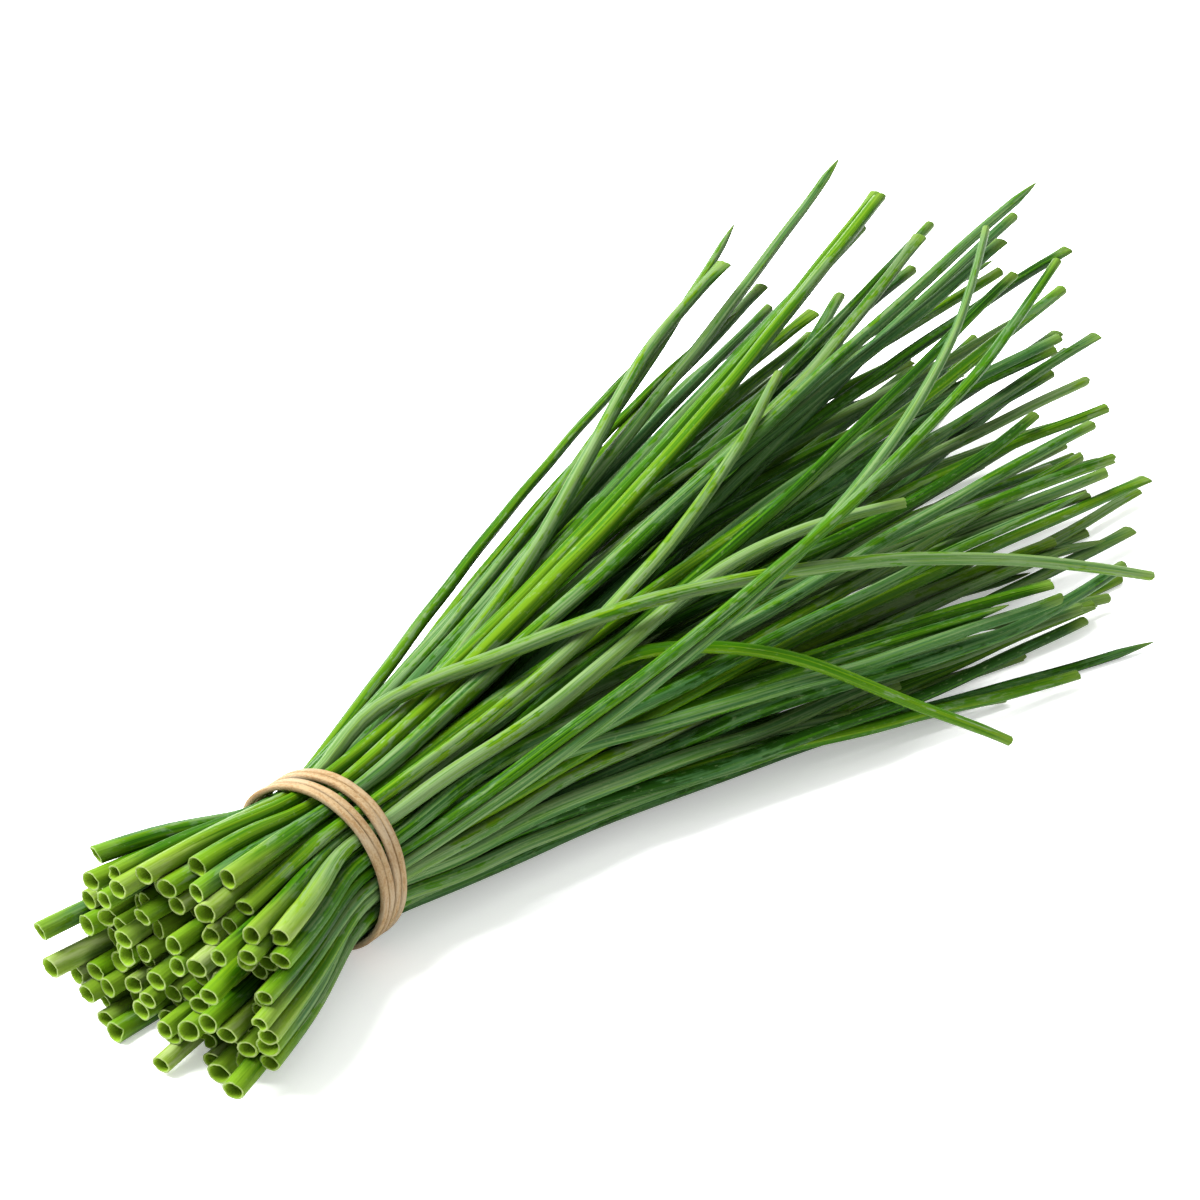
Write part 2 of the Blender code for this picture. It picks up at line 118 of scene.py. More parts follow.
STRAYS = (
    Stray("leaf_far_thin", 30, 0.95, 17.4, 4.0, -8 * MM, -12 * MM, 206 * MM, girth=0.80),
    Stray("leaf_far_pointed", 50, 0.95, 8.7, 4.0, 20 * MM, 5 * MM, 216 * MM, girth=0.80, pointed=True),
    Stray("leaf_far_longest", 62, 0.80, 9.5, 4.5, 16 * MM, -4 * MM, 263 * MM, pointed=True),
    Stray("leaf_far_long", 76, 0.92, 5.5, 4.0, 18 * MM, 0.0, 246 * MM, girth=1.0),
    Stray("leaf_curled", 45, 0.60, 19.0, 5.0, -30 * MM, 0.0, 206 * MM, girth=0.75, pointed=True),
    Stray("leaf_over_steep", 175, 0.90, -14.0, 13.5, 78 * MM, -18 * MM, 242 * MM, girth=0.80, curl=2.4),
    Stray("leaf_over_bright", 160, 0.90, -13.0, 13.5, 48 * MM, -16 * MM, 234 * MM, girth=0.85, curl=2.4),
    Stray("leaf_top_short", 120, 0.95, -9.0, 8.0, 44 * MM, -4 * MM, 166 * MM, girth=0.90),
    Stray("leaf_drooping", 165, 0.70, -6.0, 10.6, -47 * MM, -41 * MM, 137 * MM, girth=0.95, curl=1.0,
          knee=0.6, drop=1.35),
    Stray("leaf_sweeping", 70, 0.95, -4.0, 9.5, -62 * MM, -42 * MM, 188 * MM, girth=1.0, curl=1.4,
          knee=0.1, drop=2.5),
    Stray("leaf_low_pointed", 225, 0.95, -10.0, 1.0, -26 * MM, -12 * MM, 190 * MM, pointed=True),
    Stray("leaf_low_near", 195, 0.97, -4.0, -1.0, -32 * MM, -9 * MM, 150 * MM),
    Stray("leaf_low_middle", 180, 0.97, -2.0, 1.0, -31 * MM, -18 * MM, 194 * MM),
    Stray("leaf_low_far", 170, 0.80, -6.5, 1.0, -5 * MM, -7 * MM, 225 * MM, girth=1.0),
)

# The stations of a leaf: shares of its cut side, the ends of its grip in the band, shares of its tip side.
CUT_STATIONS = (1.0, 0.55)
TIP_STATIONS = (0.12, 0.25, 0.39, 0.54, 0.69, 0.84, 1.0)
STATIONS = len(CUT_STATIONS) + 2 + len(TIP_STATIONS)
FIRST_GRIP = len(CUT_STATIONS)
FIRST_TIP = FIRST_GRIP + 2
TINY = 1e-7
BLANK_APART = 4.0


def stray_values(name: str) -> np.ndarray:
    """One field of every stray, in order, as numbers."""
    return np.array([getattr(stray, name) for stray in STRAYS], dtype=float)


def eased(run: np.ndarray, ease: float) -> np.ndarray:
    """The distance over which a leaf has spread after a run, when it leaves the band straight.

    Args:
        run: how far the leaf has come from the band.
        ease: the length over which it takes up its heading.

    Returns:
        The distances.
    """
    return run - ease * (1 - np.exp(-run / ease))


def nearest_points(p: np.ndarray, along_p: np.ndarray, q: np.ndarray,
                   along_q: np.ndarray) -> tuple[np.ndarray, np.ndarray]:
    """For pairs of straight stretches, how far along each one the two are closest.

    Args:
        p: where the first stretches start.
        along_p: from their starts to their ends.
        q: where the second stretches start.
        along_q: from their starts to their ends.

    Returns:
        The shares along the first and the second, from 0 to 1.
    """
    between = p - q
    pp = np.einsum("ij,ij->i", along_p, along_p)
    qq = np.einsum("ij,ij->i", along_q, along_q)
    pq = np.einsum("ij,ij->i", along_p, along_q)
    pb = np.einsum("ij,ij->i", along_p, between)
    qb = np.einsum("ij,ij->i", along_q, between)
    spread = pp * qq - pq * pq
    s = np.where(spread > 1e-9 * pp * qq, (pq * qb - pb * qq) / np.maximum(spread, 1e-30), 0.5)
    t = np.clip((pq * np.clip(s, 0, 1) + qb) / qq, 0, 1)
    s = np.clip((pq * t - pb) / pp, 0, 1)
    return s, t


def smoothed(bend: np.ndarray, share: float) -> np.ndarray:
    """Spreads each leaf's bend along it, as its stiffness does, and keeps it straight in the band.

    Args:
        bend: how far each station is from where it wishes to be.
        share: how much of the bend is spread in one go.

    Returns:
        The spread bend.
    """
    soft = bend.copy()
    soft[:, 1:-1] = (bend[:, :-2] + bend[:, 2:]) / 2
    soft[:, -1] = 0.5 * bend[:, -1] + bend[:, -2] - 0.5 * bend[:, -3]
    soft[:, 0] = 0.5 * bend[:, 0] + bend[:, 1] - 0.5 * bend[:, 2]
    bend = bend * (1 - share) + soft * share
    bend[:, FIRST_GRIP:FIRST_TIP] = 0
    return bend


@dataclass(frozen=True)
class BunchLayout:
    """Where every leaf lies, worked out as for the frame's solids: seats, wished routes, settling."""

    seed: int = 84
    pairs: int = 45
    leaf_radius: float = 1.40 * MM
    radius_spread: float = 0.10
    pair_squeeze: float = 0.78
    base_swell: float = 1.28
    blunt_tip: float = 0.70
    pointed_tip: float = 0.60
    pointed_share: float = 0.16
    fan_low: float = -19.5
    fan_middle: float = 3.5
    fan_high: float = 14.5
    cut_grip: float = 4.3 * MM
    tip_grip: float = 5.5 * MM
    bundle_radius: float = 16.3 * MM
    band_height: float = 0.0
    stray_seats: float = 0.93
    pair_seats: float = 0.86
    packing_rounds: int = 1500
    packing_pace: float = 0.55
    stray_pace: float = 0.3
    packed_enough: float = 0.01 * MM
    far_steepness: float = 10.5
    near_steepness: float = 18.0
    yaw_limits: tuple[float, float] = (-17.0, 16.0)
    swing_limit: float = 46 * MM
    cut_spread: float = 5.2 * MM
    rows_at_once: int = 256
    settling_pace: float = 1.3
    leaf_gap: float = 0.12 * MM
    floor_gap: float = 0.03 * MM
    settling_rounds: int = 260
    clearing_rounds: int = 400
    clear_enough: float = 0.35 * 0.12 * MM
    reach: float = 1.6 * MM
    rounds_a_search: int = 10
    heavy: float = 0.35

    @property
    def leaves(self) -> int:
        """How many leaves the bunch has."""
        return len(STRAYS) + 2 * self.pairs

    def partners(self) -> np.ndarray:
        """For each leaf, the leaf that it is squeezed against, or -1 for a stray."""
        partner = np.full(self.leaves, -1)
        first = np.arange(len(STRAYS), self.leaves, 2)
        partner[first] = first + 1
        partner[first + 1] = first
        return partner

    def first_seats(self, rng: np.random.Generator) -> np.ndarray:
        """Where the leaves start out in the band: strays at their own seats, pairs on a sunflower spiral.

        Args:
            rng: the source of random draws.

        Returns:
            A seat for each leaf, across and up from the middle of the band.
        """
        seat = np.zeros((self.leaves, 2))
        clock = np.radians(stray_values("clock"))
        out = self.stray_seats * self.bundle_radius * stray_values("share")
        seat[:len(STRAYS)] = np.stack([out * np.cos(clock), out * np.sin(clock)], axis=1)
        golden = math.pi * (3 - math.sqrt(5))
        for pair in range(self.pairs):
            out = self.pair_seats * self.bundle_radius * math.sqrt((pair + 0.5) / self.pairs)
            centre = out * np.array([math.cos(pair * golden), math.sin(pair * golden)])
            turn = rng.uniform(0, math.pi)
            half = 0.5 * self.leaf_radius * np.array([math.cos(turn), math.sin(turn)])
            leaf = len(STRAYS) + 2 * pair
            seat[leaf] = centre + half
            seat[leaf + 1] = centre - half
        return seat

    def packed_seats(self, rng: np.random.Generator, radii: np.ndarray, partner: np.ndarray) -> np.ndarray:
        """Pushes the seats apart until they fit side by side in the band, with each pair squeezed together.

        Args:
            rng: the source of random draws.
            radii: the radius of each leaf.
            partner: the leaf that each one is squeezed against.

        Returns:
            The seats, across and up from the middle of the band.
        """
        seat = self.first_seats(rng)
        a, b = np.triu_indices(self.leaves, 1)
        mates = partner[a] == b
        together = radii[a] + radii[b]
        reach = np.where(mates, self.pair_squeeze * together, together + self.leaf_gap)
        ease = np.where(np.arange(self.leaves) < len(STRAYS), self.stray_pace, 1.0)
        for _ in range(self.packing_rounds):
            apart = seat[a] - seat[b]
            distance = np.maximum(np.hypot(apart[:, 0], apart[:, 1]), TINY)
            short = np.where(mates, reach - distance, np.maximum(reach - distance, 0))
            push = apart / distance[:, None] * (0.5 * short)[:, None]
            moves = [np.bincount(a, push[:, k], self.leaves) - np.bincount(b, push[:, k], self.leaves)
                     for k in (0, 1)]
            seat += np.stack(moves, axis=1) * (self.packing_pace * ease)[:, None]
            out = np.hypot(seat[:, 0], seat[:, 1])
            seat *= np.minimum(1, (self.bundle_radius - radii) / out)[:, None]
            if np.abs(short).max() < self.packed_enough:
                break
        return seat

    def wished_routes(self, rng: np.random.Generator) -> tuple[np.ndarray, ...]:
        """Where each leaf would lie if it met no other leaf.

        Args:
            rng: the source of random draws.

        Returns:
            The stations of each leaf, its radius at each, its partner, and whether its tip is pointed.
        """
        girth = rng.uniform(1 - self.radius_spread, 1 + self.radius_spread, self.leaves)
        girth[:len(STRAYS)] = stray_values("girth")
        radii = self.leaf_radius * girth
        partner = self.partners()
        seat = self.packed_seats(rng, radii, partner)
        across, up = (seat / self.bundle_radius).T

        def noise(spread: float) -> np.ndarray:
            """A random value for each leaf, of that spread."""
            return rng.normal(0, spread, self.leaves)

        # The leaves fan out in the order of their seats, which leaves no hole, and swing to their headings.
        steep = np.where(across > 0, self.far_steepness, self.near_steepness)
        yaw = np.clip(self.fan_middle + steep * across + 3.0 * up + noise(2.8), *self.yaw_limits)
        pitch = 1.8 + 4.0 * up + 4.0 * np.minimum(across, 0) + noise(2.2)
        order = np.argsort(np.argsort(across + 0.3 * up + noise(0.42)))
        heading = self.fan_low + (self.fan_high - self.fan_low) * (order + 0.5) / self.leaves + noise(1.0)
        nearer = np.maximum(self.fan_middle - heading, 0)
        further = np.maximum(heading - 3, 0)
        length = (264 - 1.2 * nearer - 0.12 * nearer ** 2 - 3.0 * further - np.abs(noise(20))) * MM
        swing = length * (np.tan(np.radians(heading)) - np.tan(np.radians(yaw))) - seat[:, 0]
        swing = np.clip(swing, -self.swing_limit, self.swing_limit)
        lift = (-3.0 + noise(4.0)) * MM
        sway = noise(4.8) * MM
        phase = rng.uniform(0, 2 * math.pi, self.leaves)
        pointed = rng.random(self.leaves) < self.pointed_share
        curl, knee, drop = np.full(self.leaves, 2.0), np.zeros(self.leaves), np.full(self.leaves, 2.0)
        own = {"yaw": yaw, "pitch": pitch, "swing": swing, "lift": lift, "length": length,
               "pointed": pointed, "curl": curl, "knee": knee, "drop": drop}
        for name, values in own.items():
            values[:len(STRAYS)] = stray_values(name)
        sway[:len(STRAYS)] = 0
        cut_yaw = np.radians(1.5 - 13.5 * across + noise(1.6))
        cut_pitch = np.radians(-1.0 - 1.0 * up + noise(1.6))
        cut = (43.0 - 4.0 * up + 7.0 * np.maximum(across, 0) * up + noise(3.7)) * MM
        yaw, pitch = np.radians(yaw), np.radians(pitch)

        routes = np.zeros((self.leaves, STATIONS, 3))
        widths = np.zeros((self.leaves, STATIONS))
        routes[:, :, 1] = seat[:, :1]
        routes[:, :, 2] = self.band_height + seat[:, 1:]
        for k, share in enumerate(CUT_STATIONS):
            run = share * cut
            out = eased(run, self.cut_spread)
            routes[:, k, 0] = -run
            routes[:, k, 1] -= np.tan(cut_yaw) * out
            routes[:, k, 2] += np.tan(cut_pitch) * out
            widths[:, k] = radii * (self.base_swell if k == 0 else (1 + self.base_swell * 2) / 3)
        for k, x in enumerate((-self.cut_grip, self.tip_grip)):
            routes[:, FIRST_GRIP + k, 0] = x
            widths[:, FIRST_GRIP + k] = radii
        for k, share in enumerate(TIP_STATIONS, FIRST_TIP):
            run = share * length
            out = eased(run, (10.5 + 3.5 * across) * MM)
            beyond = np.clip(share - knee, 0, 1) / (1 - knee)
            bend = beyond ** curl
            wave = sway * share * (np.sin(1.6 * math.pi * share + phase) - np.sin(phase))
            routes[:, k, 0] = run * np.cos(yaw) * np.cos(pitch)
            routes[:, k, 1] += np.tan(yaw) * out + swing * bend + wave
            routes[:, k, 2] += np.tan(pitch) * out + lift * beyond ** drop
            loss = np.where(pointed, 1 - self.pointed_tip, 1 - self.blunt_tip)
            narrowing = np.clip((share - 0.35) / 0.65, 0, 1) ** np.where(pointed, 1.6, 1.2)
            widths[:, k] = radii * (1 - loss * narrowing)
        routes[:, :, 2] = np.maximum(routes[:, :, 2], widths + self.floor_gap)
        return routes.round(7), widths.round(7), partner, pointed

    def neighbours(self, routes: np.ndarray, widths: np.ndarray,
                   partner: np.ndarray) -> tuple[np.ndarray, ...]:
        """The pairs of half stretches of different leaves that are close enough to touch soon.

        Args:
            routes: the stations of each leaf.
            widths: its radius at each.
            partner: the leaf that each one is squeezed against.

        Returns:
            For both sides of each pair, the leaf, the stretch of it and the half of that stretch.
        """
        start = routes[:, :-1].reshape(-1, 3)
        along = routes[:, 1:].reshape(-1, 3) - start
        middle = start + along / 2
        thick = np.maximum(widths[:, :-1], widths[:, 1:]).ravel()
        size = np.linalg.norm(along, axis=1) / 2 + thick
        leaf, stretch = np.divmod(np.arange(len(start)), STATIONS - 1)
        found = []
        for first in range(0, len(start), self.rows_at_once):
            rows = np.arange(first, min(first + self.rows_at_once, len(start)))
            distance = np.linalg.norm(middle[rows, None] - middle[None], axis=2)
            close = (distance < size[rows, None] + size[None] + self.reach) & (leaf[rows, None] < leaf[None])
            i, j = np.nonzero(close)
            found.append((rows[i], j))
        i, j = (np.concatenate(side) for side in zip(*found))
        s, t = nearest_points(start[i], along[i], start[j], along[j])
        apart = start[i] + along[i] * s[:, None] - start[j] - along[j] * t[:, None]
        close = np.linalg.norm(apart, axis=1) < thick[i] + thick[j] + self.reach
        in_band = np.abs(stretch - FIRST_GRIP) <= 1
        fused = (partner[leaf[i]] == leaf[j]) & (in_band[i] | in_band[j])
        i, j = i[close & ~fused], j[close & ~fused]
        halves = np.array([(0, 0), (0, 0.5), (0.5, 0), (0.5, 0.5)])
        i, j = np.repeat(i, 4), np.repeat(j, 4)
        halves = np.tile(halves, (len(i) // 4, 1))
        return leaf[i], stretch[i], halves[:, 0], leaf[j], stretch[j], halves[:, 1]

    def settled(self, routes: np.ndarray, widths: np.ndarray, partner: np.ndarray) -> np.ndarray:
        """Pushes the leaves apart where they would cross, bending each as little and as evenly as it can be.

        Args:
            routes: the wished stations of each leaf.
            widths: its radius at each.
            partner: the leaf that each one is squeezed against.

        Returns:
            The settled stations.
        """
        wished = routes.copy()
        ease = np.where(np.arange(self.leaves) < len(STRAYS), self.heavy, 1.0)[:, None, None]
        free = np.ones((1, STATIONS, 1))
        free[:, FIRST_GRIP:FIRST_TIP] = 0
        flat = self.leaves * STATIONS
        for step in range(self.settling_rounds + self.clearing_rounds):
            if step % self.rounds_a_search == 0:
                leaf_a, at_a, half_a, leaf_b, at_b, half_b = self.neighbours(routes, widths, partner)
            a, along_a = routes[leaf_a, at_a], routes[leaf_a, at_a + 1] - routes[leaf_a, at_a]
            b, along_b = routes[leaf_b, at_b], routes[leaf_b, at_b + 1] - routes[leaf_b, at_b]
            s, t = nearest_points(a + along_a * half_a[:, None], along_a / 2,
                                  b + along_b * half_b[:, None], along_b / 2)
            s, t = half_a + s / 2, half_b + t / 2
            apart = a + along_a * s[:, None] - b - along_b * t[:, None]
            distance = np.linalg.norm(apart, axis=1)
            thick_a = widths[leaf_a, at_a] * (1 - s) + widths[leaf_a, at_a + 1] * s
            thick_b = widths[leaf_b, at_b] * (1 - t) + widths[leaf_b, at_b + 1] * t
            short = thick_a + thick_b + self.leaf_gap - distance
            if step >= self.settling_rounds and short.max() < self.clear_enough:
                break
            hit = short > 0
            push = apart[hit] / np.maximum(distance[hit], TINY)[:, None] * (0.5 * short[hit])[:, None]
            moves = np.zeros((flat, 3))
            touches = np.zeros(flat)
            for leaf, at, share, sign in ((leaf_a, at_a, s, 1), (leaf_b, at_b, t, -1)):
                share = share[hit]
                station = leaf[hit] * STATIONS + at[hit]
                both = (1 - share) ** 2 + share ** 2
                for step_on, weight in ((0, 1 - share), (1, share)):
                    amount = push * (sign * weight / both)[:, None]
                    for axis in range(3):
                        moves[:, axis] += np.bincount(station + step_on, amount[:, axis], flat)
                    touches += np.bincount(station + step_on, weight, flat)
            moves /= np.maximum(touches, 1)[:, None]
            routes = routes + self.settling_pace * ease * free * moves.reshape(routes.shape)
            if step < self.settling_rounds:
                routes = wished + smoothed(routes - wished, 0.30 * (1 - step / self.settling_rounds) + 0.02)
            routes[:, :, 2] = np.maximum(routes[:, :, 2], widths + self.floor_gap)
        return routes


# -------------------- the leaves' shapes


def smooth_step(share: float) -> float:
    """Eases a share from 0 to 1."""
    share = min(max(share, 0.0), 1.0)
    return share * share * (3 - 2 * share)


def cut_into_rings(shape: bmesh.types.BMesh, cuts: int) -> None:
    """Cuts the lengthwise edges of upright tubes, which leaves rings one apart."""
    lengthwise = [edge for edge in shape.edges if abs(edge.verts[0].co.z - edge.verts[1].co.z) > 1]
    bmesh.ops.subdivide_edges(shape, edges=lengthwise, cuts=cuts, use_grid_fill=True)


def new_mesh(name: str, shape: bmesh.types.BMesh) -> bpy.types.Mesh:
    """Turns a shape into a mesh of that name, and frees the shape."""
    mesh = bpy.data.meshes.new(name)
    shape.to_mesh(mesh)
    shape.free()
    return mesh


def put_in_scene(name: str, data: bpy.types.ID) -> bpy.types.Object:
    """Makes an object of a mesh, lamp or lens and puts it in the scene."""
    thing = bpy.data.objects.new(name, data)
    bpy.context.scene.collection.objects.link(thing)
    return thing


def smooth_curve(knots: np.ndarray, values: np.ndarray, at: np.ndarray) -> np.ndarray:
    """Reads a smooth curve through a leaf's stations: a natural cubic spline.

    Args:
        knots: how far along the leaf its stations are.
        values: what the curve passes through at each.
        at: how far along the leaf to read it.

    Returns:
        The values there.
    """
    step = np.diff(knots)
    rise = np.diff(values, axis=0) / step[:, None]
    count = len(knots)
    system = np.eye(count)
    wanted = np.zeros((count, values.shape[1]))
    for k in range(1, count - 1):
        system[k, k - 1:k + 2] = step[k - 1], 2 * (step[k - 1] + step[k]), step[k]
        wanted[k] = 6 * (rise[k] - rise[k - 1])
    bend = np.linalg.solve(system, wanted)
    k = np.clip(np.searchsorted(knots, at, side="right") - 1, 0, count - 2)
    t = (at - knots[k])[:, None]
    h = step[k][:, None]
    slope = rise[k] - h * (2 * bend[k] + bend[k + 1]) / 6
    return values[k] + slope * t + bend[k] / 2 * t ** 2 + (bend[k + 1] - bend[k]) / (6 * h) * t ** 3


class Tip(Enum):
    """How a leaf ends: trimmed across, trimmed and pinched flat, or grown to its own point."""

    TRIMMED = "trimmed"
    PINCHED = "pinched"
    GROWN = "grown"


@dataclass(frozen=True)
class TubeShape:
    """The rings of a leaf's skin: up its cut bore, over the rim, along the outside and into its tip."""

    sides: int = 20
    bore_rings: int = 6
    near_rings: int = 7
    body_rings: int = 56
    tip_bore_rings: int = 4
    bore_depth: float = 12 * MM
    bore_taper: float = 0.75
    tip_bore_depth: float = 5 * MM
    near_reach: float = 9 * MM
    wall: float = 0.42 * MM
    rim_round: float = 0.09 * MM
    rim: tuple[tuple[float, float], ...] = ((0.12, 0.65), (0.5, 1.0), (0.88, 0.65))

    @property
    def rings(self) -> int:
        """How many rings the skin has."""
        return len(self.walls_in())

    @property
    def outer_first(self) -> int:
        """The first ring on the outside."""
        return self.bore_rings + len(self.rim)

    @property
    def outer_last(self) -> int:
        """The last ring on the outside."""
        return self.outer_first + 2 * self.near_rings + self.body_rings - 1

    def distances(self, length: float) -> np.ndarray:
        """How far from its cut end each ring of a leaf is.

        Args:
            length: the length of the leaf.

        Returns:
            The distances, ring by ring.
        """
        proud = self.rim_round * np.array([out for _, out in self.rim])
        bore = self.bore_depth * np.linspace(1, 0, self.bore_rings) ** 2
        near = self.near_reach * (np.arange(self.near_rings) / self.near_rings) ** 1.8
        body = np.linspace(self.near_reach, length - self.near_reach, self.body_rings)
        tip_bore = length - self.tip_bore_depth * np.linspace(0, 1, self.tip_bore_rings) ** 2
        return np.concatenate([bore, -proud[::-1], near, body, length - near[::-1], length + proud, tip_bore])

    def walls_in(self) -> np.ndarray:
        """How many thicknesses of the wall each ring stands in: 0 on the outside, 1 or more in a bore."""
        rim = np.array([share for share, _ in self.rim])
        bore = 1 + self.bore_taper * np.linspace(1, 0, self.bore_rings)
        outer = np.zeros(2 * self.near_rings + self.body_rings)
        tip_bore = 1 + 0.4 * self.bore_taper * np.linspace(0, 1, self.tip_bore_rings)
        return np.concatenate([bore, rim[::-1], outer, rim, tip_bore])


class Coat(Enum):
    """The look of a leaf's outside."""

    WAXY = "waxy"
    RUBBED = "rubbed"
    YOUNG = "young"
    SHADED = "shaded"


@dataclass(frozen=True)
class CoatRange:
    """How a coat varies: the wax that covers it, how light it is, and the share of leaves that have it."""

    cover: tuple[float, float]
    light: tuple[float, float]
    share: float

    def draw(self, first: float, second: float) -> tuple[float, float]:
        """The cover and lightness of one leaf, from a random number for each, 0 to 1."""
        (low, high), (dark, light) = self.cover, self.light
        return low + (high - low) * first, dark + (light - dark) * second


COATS = {
    Coat.WAXY: CoatRange((0.50, 1.0), (0.25, 0.88), 0.52),
    Coat.RUBBED: CoatRange((0.12, 0.50), (0.25, 0.85), 0.30),
    Coat.YOUNG: CoatRange((0.05, 0.25), (0.45, 0.72), 0.05),
    Coat.SHADED: CoatRange((0.25, 0.7), (0.0, 0.2), 0.13),
}
OWN_COATS = {
    "leaf_drooping": Coat.YOUNG,
    "leaf_over_steep": Coat.WAXY,
    "leaf_over_bright": Coat.RUBBED,
    "leaf_far_long": Coat.YOUNG,
    "leaf_far_thin": Coat.RUBBED,
    "leaf_sweeping": Coat.WAXY,
    "leaf_low_pointed": Coat.SHADED,
}


@dataclass
class Leaf:
    """One leaf of the bunch: its spine and what is particular to it."""

    number: int
    points: np.ndarray
    radii: np.ndarray
    tip: Tip
    start: float
    look: tuple[float, float, float]

    @property
    def knots(self) -> np.ndarray:
        """How far along the leaf its stations are."""
        return np.concatenate([[0], np.cumsum(np.linalg.norm(np.diff(self.points, axis=0), axis=1))])

    @property
    def length(self) -> float:
        """The length of the leaf."""
        return float(self.knots[-1])


@dataclass
class Skin:
    """A leaf's rings in place: middles, directions, radii and the offsets of the points round them."""

    middle: np.ndarray
    onward: np.ndarray
    radius: np.ndarray
    offset: np.ndarray
    run: np.ndarray
    turn: np.ndarray


@dataclass
class Leaves:
    """All the leaves, as fine pieces that stand for the frame's leaf nodes."""

    layout: BunchLayout
    shape: TubeShape = field(default_factory=TubeShape)
    rib_depth: float = 0.035
    oval: float = 0.10
    plump: float = 0.15
    flat: float = 0.05
    wander: float = 0.12 * MM
    free_from: float = 5 * MM
    free_over: float = 11 * MM
    tip_reach: float = 9 * MM
    ragged_reach: float = 3.5 * MM
    tilt: float = 0.28 * MM
    jag: float = 0.06 * MM
    torn_share: float = 0.28
    press_gap: float = 0.015 * MM
    press_step: float = 3.2 * MM
    press_nearest: float = 0.2 * MM
    press_least: float = 0.35
    rows_at_once: int = 512
    pattern_shift: float = 3.0
    band_inside: float = 16.45 * MM
    band_half: float = 4.6 * MM

    def grown(self) -> list[Leaf]:
        """Lays out the leaves and gives each its tip and traits.

        Returns:
            The leaves, strays first and then the pairs.
        """
        rng = np.random.default_rng(self.layout.seed)
        routes, widths, partner, pointed = self.layout.wished_routes(rng)
        routes = self.layout.settled(routes, widths, partner)
        traits = rng.random((self.layout.leaves, 8))
        steps = np.cumsum([coat.share for coat in COATS.values()])
        leaves = []
        for number, (start, first, second, pale, pick, ending, *_) in enumerate(traits):
            tip = Tip.GROWN if pointed[number] else (Tip.PINCHED if ending < 0.3 else Tip.TRIMMED)
            coat = list(COATS)[min(int(np.searchsorted(steps, pick)), len(COATS) - 1)]
            if number < len(STRAYS):
                coat = OWN_COATS.get(STRAYS[number].name, coat)
            cover, light = COATS[coat].draw(first, second)
            leaves.append(Leaf(number, routes[number], widths[number], tip, start, (cover, light, pale)))
        return leaves

    def skin(self, leaf: Leaf) -> Skin:
        """Gives a leaf its rings, ribs, ends and small unevenness.

        Args:
            leaf: the leaf to shape.

        Returns:
            Its skin, before it is pressed against its neighbours.
        """
        shape = self.shape
        rng = np.random.default_rng(1000 + leaf.number)
        run = shape.distances(leaf.length)
        inside = np.clip(run, 0, leaf.length)
        middle = smooth_curve(leaf.knots, leaf.points, inside)
        share = inside / leaf.length
        for axis in (1, 2):
            for waves in (5.0, 9.0):
                wander = self.wander * rng.normal() * (5.0 / waves) ** 1.5
                middle[:, axis] += wander * np.sin(2 * math.pi * (waves * share + rng.random())) * np.clip(
                    (inside - 50 * MM) / (40 * MM), 0, 1)
        ahead = smooth_curve(leaf.knots, leaf.points, np.clip(inside + 0.5 * MM, 0.5 * MM, leaf.length))
        behind = smooth_curve(leaf.knots, leaf.points, np.clip(inside - 0.5 * MM, 0, leaf.length - 0.5 * MM))
        onward = ahead - behind
        onward /= np.linalg.norm(onward, axis=1, keepdims=True)
        middle += onward * (run - inside)[:, None]
        across = np.cross([0.0, 0.0, 1.0], onward)
        across /= np.linalg.norm(across, axis=1, keepdims=True)
        upward = np.cross(onward, across)

        free = np.clip((np.abs(middle[:, 0]) - self.free_from) / self.free_over, 0, 1)
        radius = np.interp(inside, leaf.knots, leaf.radii) * (1 + self.plump * free)
        from_tip = leaf.length - inside
        if leaf.tip is Tip.GROWN:
            radius = radius * np.clip(from_tip / self.tip_reach, 0.0, 1.0) ** 0.55
            radius = np.maximum(radius, 0.12 * MM)
        twist = 2 * math.pi * (rng.random() + (rng.random() - 0.5) * 0.5 * share)
        clock = 2 * math.pi * np.arange(shape.sides) / shape.sides
        turn = clock[None] + twist[:, None]
        ribs = np.zeros((len(run), shape.sides))
        for waves, part in ((3, 0.9), (5, 0.8), (8, 0.8)):
            ribs += part * np.cos(waves * clock[None] + 2 * math.pi * rng.random()
                                  + 1.2 * np.sin(2 * math.pi * (2.2 * share[:, None] + rng.random())))
        oval = self.oval * (0.25 + rng.random()) * np.sin(2 * math.pi * (1.6 * share + rng.random()))
        oval = oval + self.flat * free
        if leaf.tip is Tip.PINCHED:
            oval = oval + 0.42 * np.clip(1 - from_tip / self.tip_reach, 0, 1)
        round_in = np.clip(inside / (14 * MM), 0.25, 1.0)
        reach = radius[:, None] * (1 + self.rib_depth * ribs * round_in[:, None])
        thickness = np.minimum(shape.wall, 0.42 * radius) * shape.walls_in()
        reach = reach - thickness[:, None]
        flat_x, flat_y = 1 + oval, 1 - oval
        side = reach * np.cos(turn) * flat_x[:, None]
        rise = reach * np.sin(turn) * flat_y[:, None]
        offset = side[:, :, None] * across[:, None] + rise[:, :, None] * upward[:, None]
        offset += self.ragged(leaf, run, inside, clock, rng)[:, :, None] * onward[:, None]
        return Skin(middle, onward, radius, offset, inside, turn)

